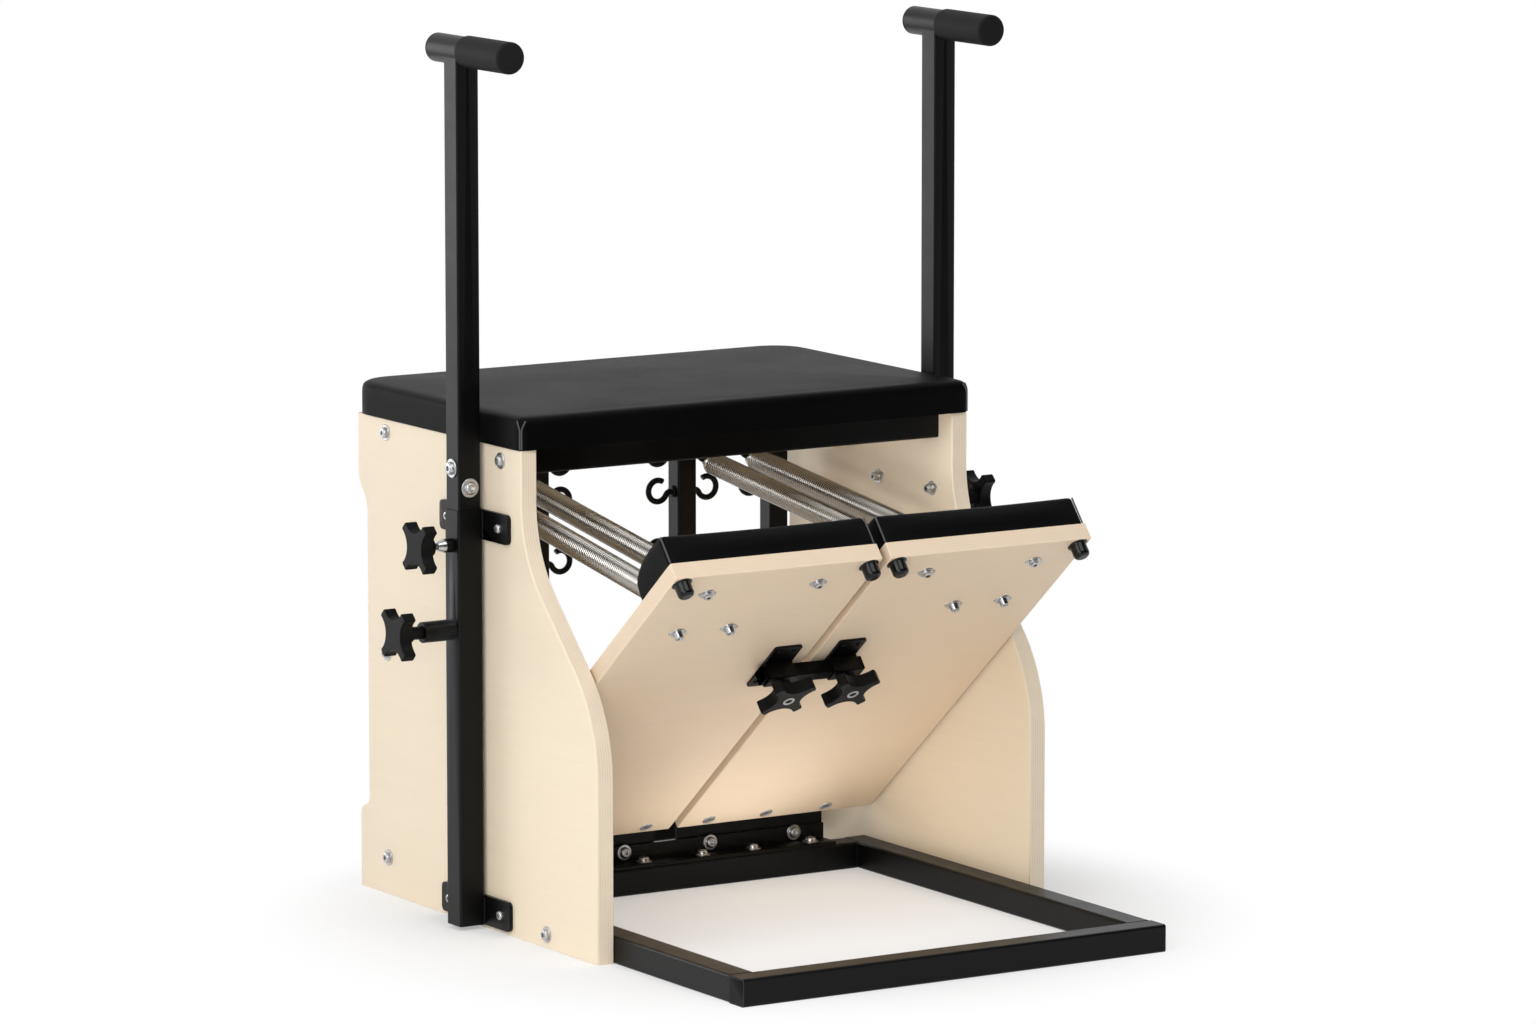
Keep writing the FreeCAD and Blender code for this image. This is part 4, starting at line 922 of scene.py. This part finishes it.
class CHAIR_OT_pedal_pads(bpy.types.Operator):
    """Make the stuffed pedal pads"""

    bl_idname = "chair.pedal_pads"
    bl_label = "Pedal pads"

    def execute(self, context):
        sizes = context.scene.chair_sizes
        cover = vinyl("pedal_vinyl", PEDAL).material
        for name in SIDES:
            low, high = laid_box(corners_of(name + "_pedal_pad"))
            slim = Vector((0.0012, 0.0012, 0))
            block = self.block(low + slim, high - slim)
            mesh = swollen(
                block, sizes.voxel * 0.67, 2.0, sizes.crown * 0.8, lambda spot: int(spot.z >= low.z + 0.005), low.z)
            mesh.transform(PEDAL)
            pad = add_piece(
                name + "_pedal_pad_cover", mesh, cover, name + "_pedal", "vinyl", name + "_pedal_pad")
            self.corner_seams(name, low + slim, high - slim, sizes.seam)
        return {"FINISHED"}

    def block(self, low, high):
        """Closed block, upright in front, crowned on top and round behind."""
        section = ((0.0, -0.35), (0.0, 1.03), (0.012, 1.07), (0.05, 1.09), (0.17, 1.11), (0.34, 1.115), (0.52, 1.10),
                   (0.68, 1.04), (0.80, 0.95), (0.90, 0.82), (0.965, 0.67), (0.995, 0.45), (1.0, 0.2), (1.0, -0.35))

        def build(form):
            size = high - low
            points = [form.verts.new((low.x, low.y + along * size.y, low.z + up * size.z)) for along, up in section]
            bmesh.ops.contextual_create(form, geom=points)
            moved = verts_of(bmesh.ops.extrude_face_region(form, geom=form.faces[:])["geom"])
            bmesh.ops.translate(form, verts=moved, vec=(size.x, 0, 0))
            ends = [edge for edge in form.edges if abs(edge.verts[0].co.x - edge.verts[1].co.x) < 1e-6]
            bevelled(form, ends, 0.003, 2)

        return shape(build)

    def corner_seams(self, name, low, high, radius):
        """One raised edge up each front corner."""
        copies = []
        for x, inward in ((low.x, 1), (high.x, -1)):
            points = []
            for step in range(9):
                up = 0.03 + 0.98 * step / 8
                points.append((x + inward * 0.0010, low.y + 0.0010, low.z + up * (high.z - low.z)))
            copies.append((strand(points, radius), PEDAL))
        add_copies(name + "_pedal_pad_seams", copies, seam_thread_highlight(), name + "_pedal", "vinyl")


class CHAIR_OT_springs(bpy.types.Operator):
    """Wind the four springs and finish their end fittings"""

    bl_idname = "chair.springs"
    bl_label = "Springs"

    def execute(self, context):
        sizes = context.scene.chair_sizes
        metal = nickel()
        for name in SIDES:
            for place in ("inner", "outer"):
                self.wind(name, place, sizes, metal)
            dress(name + "_spring_rear_ends", metal)
            dress(name + "_spring_front_ends", metal)
        return {"FINISHED"}

    def wind(self, name, place, sizes, metal):
        """One close coil between its two flanges."""

        def end_of(node):
            order = sorted(islands(node), key=lambda group: abs(sum(p.x for p in group) / len(group)))
            return order[0 if place == "inner" else 1]

        rear, front = end_of(name + "_spring_rear_ends"), end_of(name + "_spring_front_ends")
        heading = (sum(front, Vector()) / len(front) - sum(rear, Vector()) / len(rear)).normalized()
        title = name + "_" + place + "_spring"
        coil = corners_of(title)
        start = seat_of(coil, heading)
        length = span(coil, heading)[1] - start.dot(heading)
        mesh = self.coil(sizes, length)
        mesh.transform(aim(start, heading))
        piece = put(title + "_coil", mesh)
        mesh.materials.append(metal)
        start + heading * length
        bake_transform(piece)
        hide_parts(title)

    def coil(self, sizes, length):
        """Close winding along +Z: a ring of wire swept by a screw."""
        half = sizes.coil_wire / 2
        ring = bmesh.new()
        place = Matrix.Translation((sizes.coil_outside / 2 - half, 0, half)) @ Matrix.Rotation(math.pi / 2, 4, "X")
        bmesh.ops.create_circle(ring, segments=8, radius=half, matrix=place)
        holder = put("wire", mesh_from("wire", ring))
        screw = holder.modifiers.new("winding", "SCREW")
        screw.iterations = sizes.coil_turns
        screw.screw_offset = (length - sizes.coil_wire) / sizes.coil_turns
        screw.steps = screw.render_steps = 16
        screw.use_smooth_shade = True
        screw.use_normal_calculate = True
        wound = applied(holder)
        bpy.data.objects.remove(holder)
        return wound


class CHAIR_OT_fasteners(bpy.types.Operator):
    """Replace the plain bolts with socket heads, eared nuts and flush inserts"""

    bl_idname = "chair.fasteners"
    bl_label = "Fasteners"

    def execute(self, context):
        metal = zinc()
        bright = plated("bright_zinc", palette().bright_zinc, 0.5).material
        large = button_bolt(washer_r=0.0095, head_r=0.0066, height=0.0042, washer=0.0015, key_r=0.0029)
        small = button_bolt(washer_r=0.0, head_r=0.0055, height=0.0040, washer=0.0, key_r=0.0024)
        wide = button_bolt(washer_r=0.0110, head_r=0.0076, height=0.0046, washer=0.0016, key_r=0.0034)
        ear = eared_nut(tall=0.0085)
        low_ear = eared_nut(tall=0.0058)
        small_width, flush_height = 0.014, 0.003
        copies = []
        for points in islands("frame_bolts"):
            way = outward(points)
            inside = way.x * points[0].x < 0
            form = ear if inside else small if width_of(points, way) < small_width else large
            copies.append((form, aim(seat_of(points, way), way, 0.4)))
        add_copies("frame_bolts_finish", copies, metal, "frame", "zinc", "frame_bolts")
        flush = flush_insert()
        screw = button_bolt(washer_r=0.0, head_r=0.0031, height=0.0016, washer=0.0, key_r=0.0014)
        for name in SIDES:
            copies = []
            for points in islands(name + "_stop_bolts"):
                way = outward(points)
                copies.append((wide, aim(seat_of(points, way), way, 0.3)))
            bolts = name + "_stop_bolts"
            add_copies(bolts + "_finish", copies, metal, name + "_handle", "zinc", bolts)
            copies = []
            inserts = []
            for points in islands(name + "_pedal_bolts"):
                place = self.level(seat_of(points, UNDER), UNDER)
                low, high = span(points, UNDER)
                if high - low < flush_height:
                    inserts.append((flush, place))
                else:
                    copies.append((low_ear, place))
            bolts = name + "_pedal_bolts"
            add_copies(bolts + "_finish", copies, metal, name + "_pedal", "zinc", bolts)
            add_copies(name + "_inserts", inserts, bright, name + "_pedal", "zinc")
            self.spring_eyes(name, metal, ear)
            self.plate_screws(name, screw)
        return {"FINISHED"}

    def spring_eyes(self, name, metal, ear):
        """Eye bolts as in the CAD above the board, with eared nuts under it."""
        node = name + "_spring_eyes"
        shell = merged(node)
        rim = cut_at(shell, PEDAL @ Vector((0, 0, BOARD_UNDER + 0.002)), UNDER, clear_outer=True)
        bmesh.ops.edgenet_fill(shell, edges=rim)
        copies = [(sharpen(mesh_from(node, shell)), Matrix())]
        for points in islands(node):
            low, high = laid_box(points)
            x, y = (low.xy + high.xy) / 2
            copies.append((ear, self.level(PEDAL @ Vector((x, y, BOARD_UNDER)), UNDER)))
        add_copies(node + "_finish", copies, metal, name + "_pedal", SLOT_OF[node], node)

    def level(self, place, direction):
        """Matrix that points +Z along a direction and keeps X level."""
        up = Vector(direction).normalized()
        side = Vector((1, 0, 0))
        return Matrix.Translation(place) @ Matrix((side, up.cross(side), up)).transposed().to_4x4()

    def plate_screws(self, name, screw):
        """Four dark screws in the connector's plate."""
        low, high = laid_box(corners_of(name + "_connector_bracket"))
        copies = []
        for x in (low.x + 0.008, high.x - 0.008):
            for y in (low.y + 0.009, high.y - 0.009):
                place = PEDAL @ Vector((x, y, BOARD_UNDER - 0.003))
                copies.append((screw, aim(place, UNDER, 0.2)))
        add_copies(name + "_plate_screws", copies, black_steel(), name + "_pedal", "black_steel")


class CHAIR_OT_knobs(bpy.types.Operator):
    """Finish the star knobs, their studs and bosses"""

    bl_idname = "chair.knobs"
    bl_label = "Knobs"

    def execute(self, context):
        plastic = knob_plastic()
        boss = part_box("clamp_bosses")
        boss_end = boss[1].x - 0.009
        dress("clamp_bosses", black_and_zinc("boss_and_cone", boss_end).material)
        hub = boss[1].x + 0.0068
        clamp = zinc_and_black("stud_and_star", hub).material
        dress("connector_bar", black_steel())
        for name in SIDES:
            dress(name + "_clamp_knob", clamp)
            dress(name + "_pull_pin", plastic)
            dress(name + "_connector_knob", plastic)
            joint = JOINT[name + "_connector_knob_turn"]
            centre = Vector(joint["pos_m"])
            way = Vector(joint["axis"]).normalized()
            end = span(corners_of(name + "_connector_knob"), way)[1] - centre.dot(way)
            copies = [(knob_insert(), aim(centre + way * end, way))]
            add_copies(name + "_knob_insert", copies, zinc(), name + "_connector_knob", "zinc")
        return {"FINISHED"}


class CHAIR_OT_handles(bpy.types.Operator):
    """Finish the sliding handles and their grips"""

    bl_idname = "chair.handles"
    bl_label = "Handles"

    def execute(self, context):
        rubber = moulded("grip_rubber", palette().grip_rubber, 0.62, 1500.0, 0.25, 0.12)
        for name in SIDES:
            dress(name + "_handle", black_steel())
            dress(name + "_bar_plug", rubber.material)
            dress(name + "_grip", rubber.material)
        return {"FINISHED"}


class CHAIR_OT_hinges(bpy.types.Operator):
    """Finish the hinge leaves and pins"""

    bl_idname = "chair.hinges"
    bl_label = "Hinges"

    def execute(self, context):
        steel = moulded("blackened_steel", palette().powder_coat, 0.4, 900.0, 0.05).material
        for node, slot in SLOT_OF.items():
            if slot == "steel":
                dress(node, steel)
        return {"FINISHED"}


class CHAIR_OT_bumpers(bpy.types.Operator):
    """Finish the rubber bumpers"""

    bl_idname = "chair.bumpers"
    bl_label = "Bumpers"

    def execute(self, context):
        rubber = moulded("bumper_rubber", palette().bumper_rubber, 0.17, 900.0, 0.02, 0.3).material
        for name in SIDES:
            dress(name + "_pedal_bumpers", rubber)
        return {"FINISHED"}


class CHAIR_OT_stage(bpy.types.Operator):
    """Lay the floor and set the light and the camera"""

    bl_idname = "chair.stage"
    bl_label = "Stage"

    def execute(self, context):
        stage = context.scene.chair_stage
        self.floor(stage)
        self.sky(context.scene, stage)
        for name, place, target, size, source, share, mirrored in LAMPS:
            self.lamp(name, place, target, size, getattr(stage, source) * share, mirrored)
        lens = bpy.data.cameras.new("camera")
        lens.lens = stage.lens
        lens.sensor_width = 36
        lens.clip_end = 60
        camera = put("camera", lens)
        camera.location = CAMERA_AT
        camera.rotation_euler = CAMERA_TURN
        context.scene.camera = camera
        context.scene.view_settings.view_transform = "Standard"
        return {"FINISHED"}

    def floor(self, stage):
        sheet = bmesh.new()
        bmesh.ops.create_grid(sheet, x_segments=1, y_segments=1, size=12)
        for vert in sheet.verts:
            vert.co.y = max(vert.co.y, -1.9)
        mesh = mesh_from("floor", sheet)
        floor = put("floor", mesh)
        paint = Finish("floor_paint", base_color=stage.floor, roughness=0.9, specular_ior_level=0.1)
        spot = paint.place()
        far = paint.node("ShaderNodeVectorMath", {"operation": "LENGTH"}, {0: spot}, output=1).step(0.36, 0.60)
        seen = paint.node("ShaderNodeLightPath", output=0) + paint.node("ShaderNodeLightPath", output=3)
        glow = paint.node("ShaderNodeEmission", inputs={0: (1, 1, 1, 1)})
        plain = Value(paint, paint.shader.outputs[0])
        both = {0: seen.least(1.0) * (0.36 + 0.64 * far), 1: plain, 2: glow}
        paint.feed(paint.tree.nodes["Material Output"].inputs[0], paint.node("ShaderNodeMixShader", inputs=both))
        mesh.materials.append(paint.material)

    def sky(self, scene, stage):
        world = bpy.data.worlds.new("even_light")
        sky = Nodes(world)
        light = sky.tree.nodes["Background"]
        sky.feed(light.inputs["Color"], (1, 1, 1, 1))
        way = sky.node("ShaderNodeTexCoord", output="Generated")
        ahead = sky.node("ShaderNodeSeparateXYZ", inputs={0: way}, output="Y")
        behind = sky.node("ShaderNodeMapRange", inputs={"Value": ahead, "From Min": -0.3, "From Max": 0.2})
        glossy = sky.node("ShaderNodeLightPath", output="Is Glossy Ray")
        mirrored = sky.node("ShaderNodeMix", inputs={0: glossy, 2: stage.sky, 3: behind})
        camera = sky.node("ShaderNodeLightPath", output="Is Camera Ray")
        sky.feed(light.inputs["Strength"], camera.most(mirrored))
        scene.world = world

    def lamp(self, name, place, target, size, watts, mirrored):
        light = bpy.data.lights.new(name, "AREA")
        light.size = size
        light.energy = watts
        lamp = put(name, light)
        lamp.location = place
        lamp.visible_glossy = mirrored
        lamp.rotation_euler = (Vector(target) - Vector(place)).to_track_quat("-Z", "Y").to_euler()


class CHAIR_PT_sidebar(bpy.types.Panel):
    """The chair's sizes, finishes and steps"""

    bl_idname = "CHAIR_PT_sidebar"
    bl_label = "Pilates Chair"
    bl_space_type = "VIEW_3D"
    bl_region_type = "UI"
    bl_category = "Chair"

    def draw(self, context):
        for group in (context.scene.chair_finish, context.scene.chair_sizes, context.scene.chair_stage):
            for name in group.bl_rna.properties.keys():
                if name not in ("rna_type", "name"):
                    self.layout.prop(group, name)
        for step in STEPS:
            self.layout.operator(step.bl_idname)


STEPS = (
    CHAIR_OT_stage,
    CHAIR_OT_plywood,
    CHAIR_OT_steelwork,
    CHAIR_OT_seat_pad,
    CHAIR_OT_pedal_pads,
    CHAIR_OT_springs,
    CHAIR_OT_fasteners,
    CHAIR_OT_knobs,
    CHAIR_OT_handles,
    CHAIR_OT_hinges,
    CHAIR_OT_bumpers,
)
GROUPS = ((ChairFinish, "chair_finish"), (ChairSizes, "chair_sizes"), (ChairStage, "chair_stage"))


def register():
    for group, name in GROUPS:
        bpy.utils.register_class(group)
        setattr(bpy.types.Scene, name, PointerProperty(type=group))
    for item in (*STEPS, CHAIR_PT_sidebar):
        bpy.utils.register_class(item)


def unregister():
    for item in (CHAIR_PT_sidebar, *reversed(STEPS)):
        bpy.utils.unregister_class(item)
    for group, name in reversed(GROUPS):
        delattr(bpy.types.Scene, name)
        bpy.utils.unregister_class(group)


def main():
    register()
    for step in STEPS:
        area, name = step.bl_idname.split(".")
        getattr(getattr(bpy.ops, area), name)()


if __name__ == "__main__":
    main()
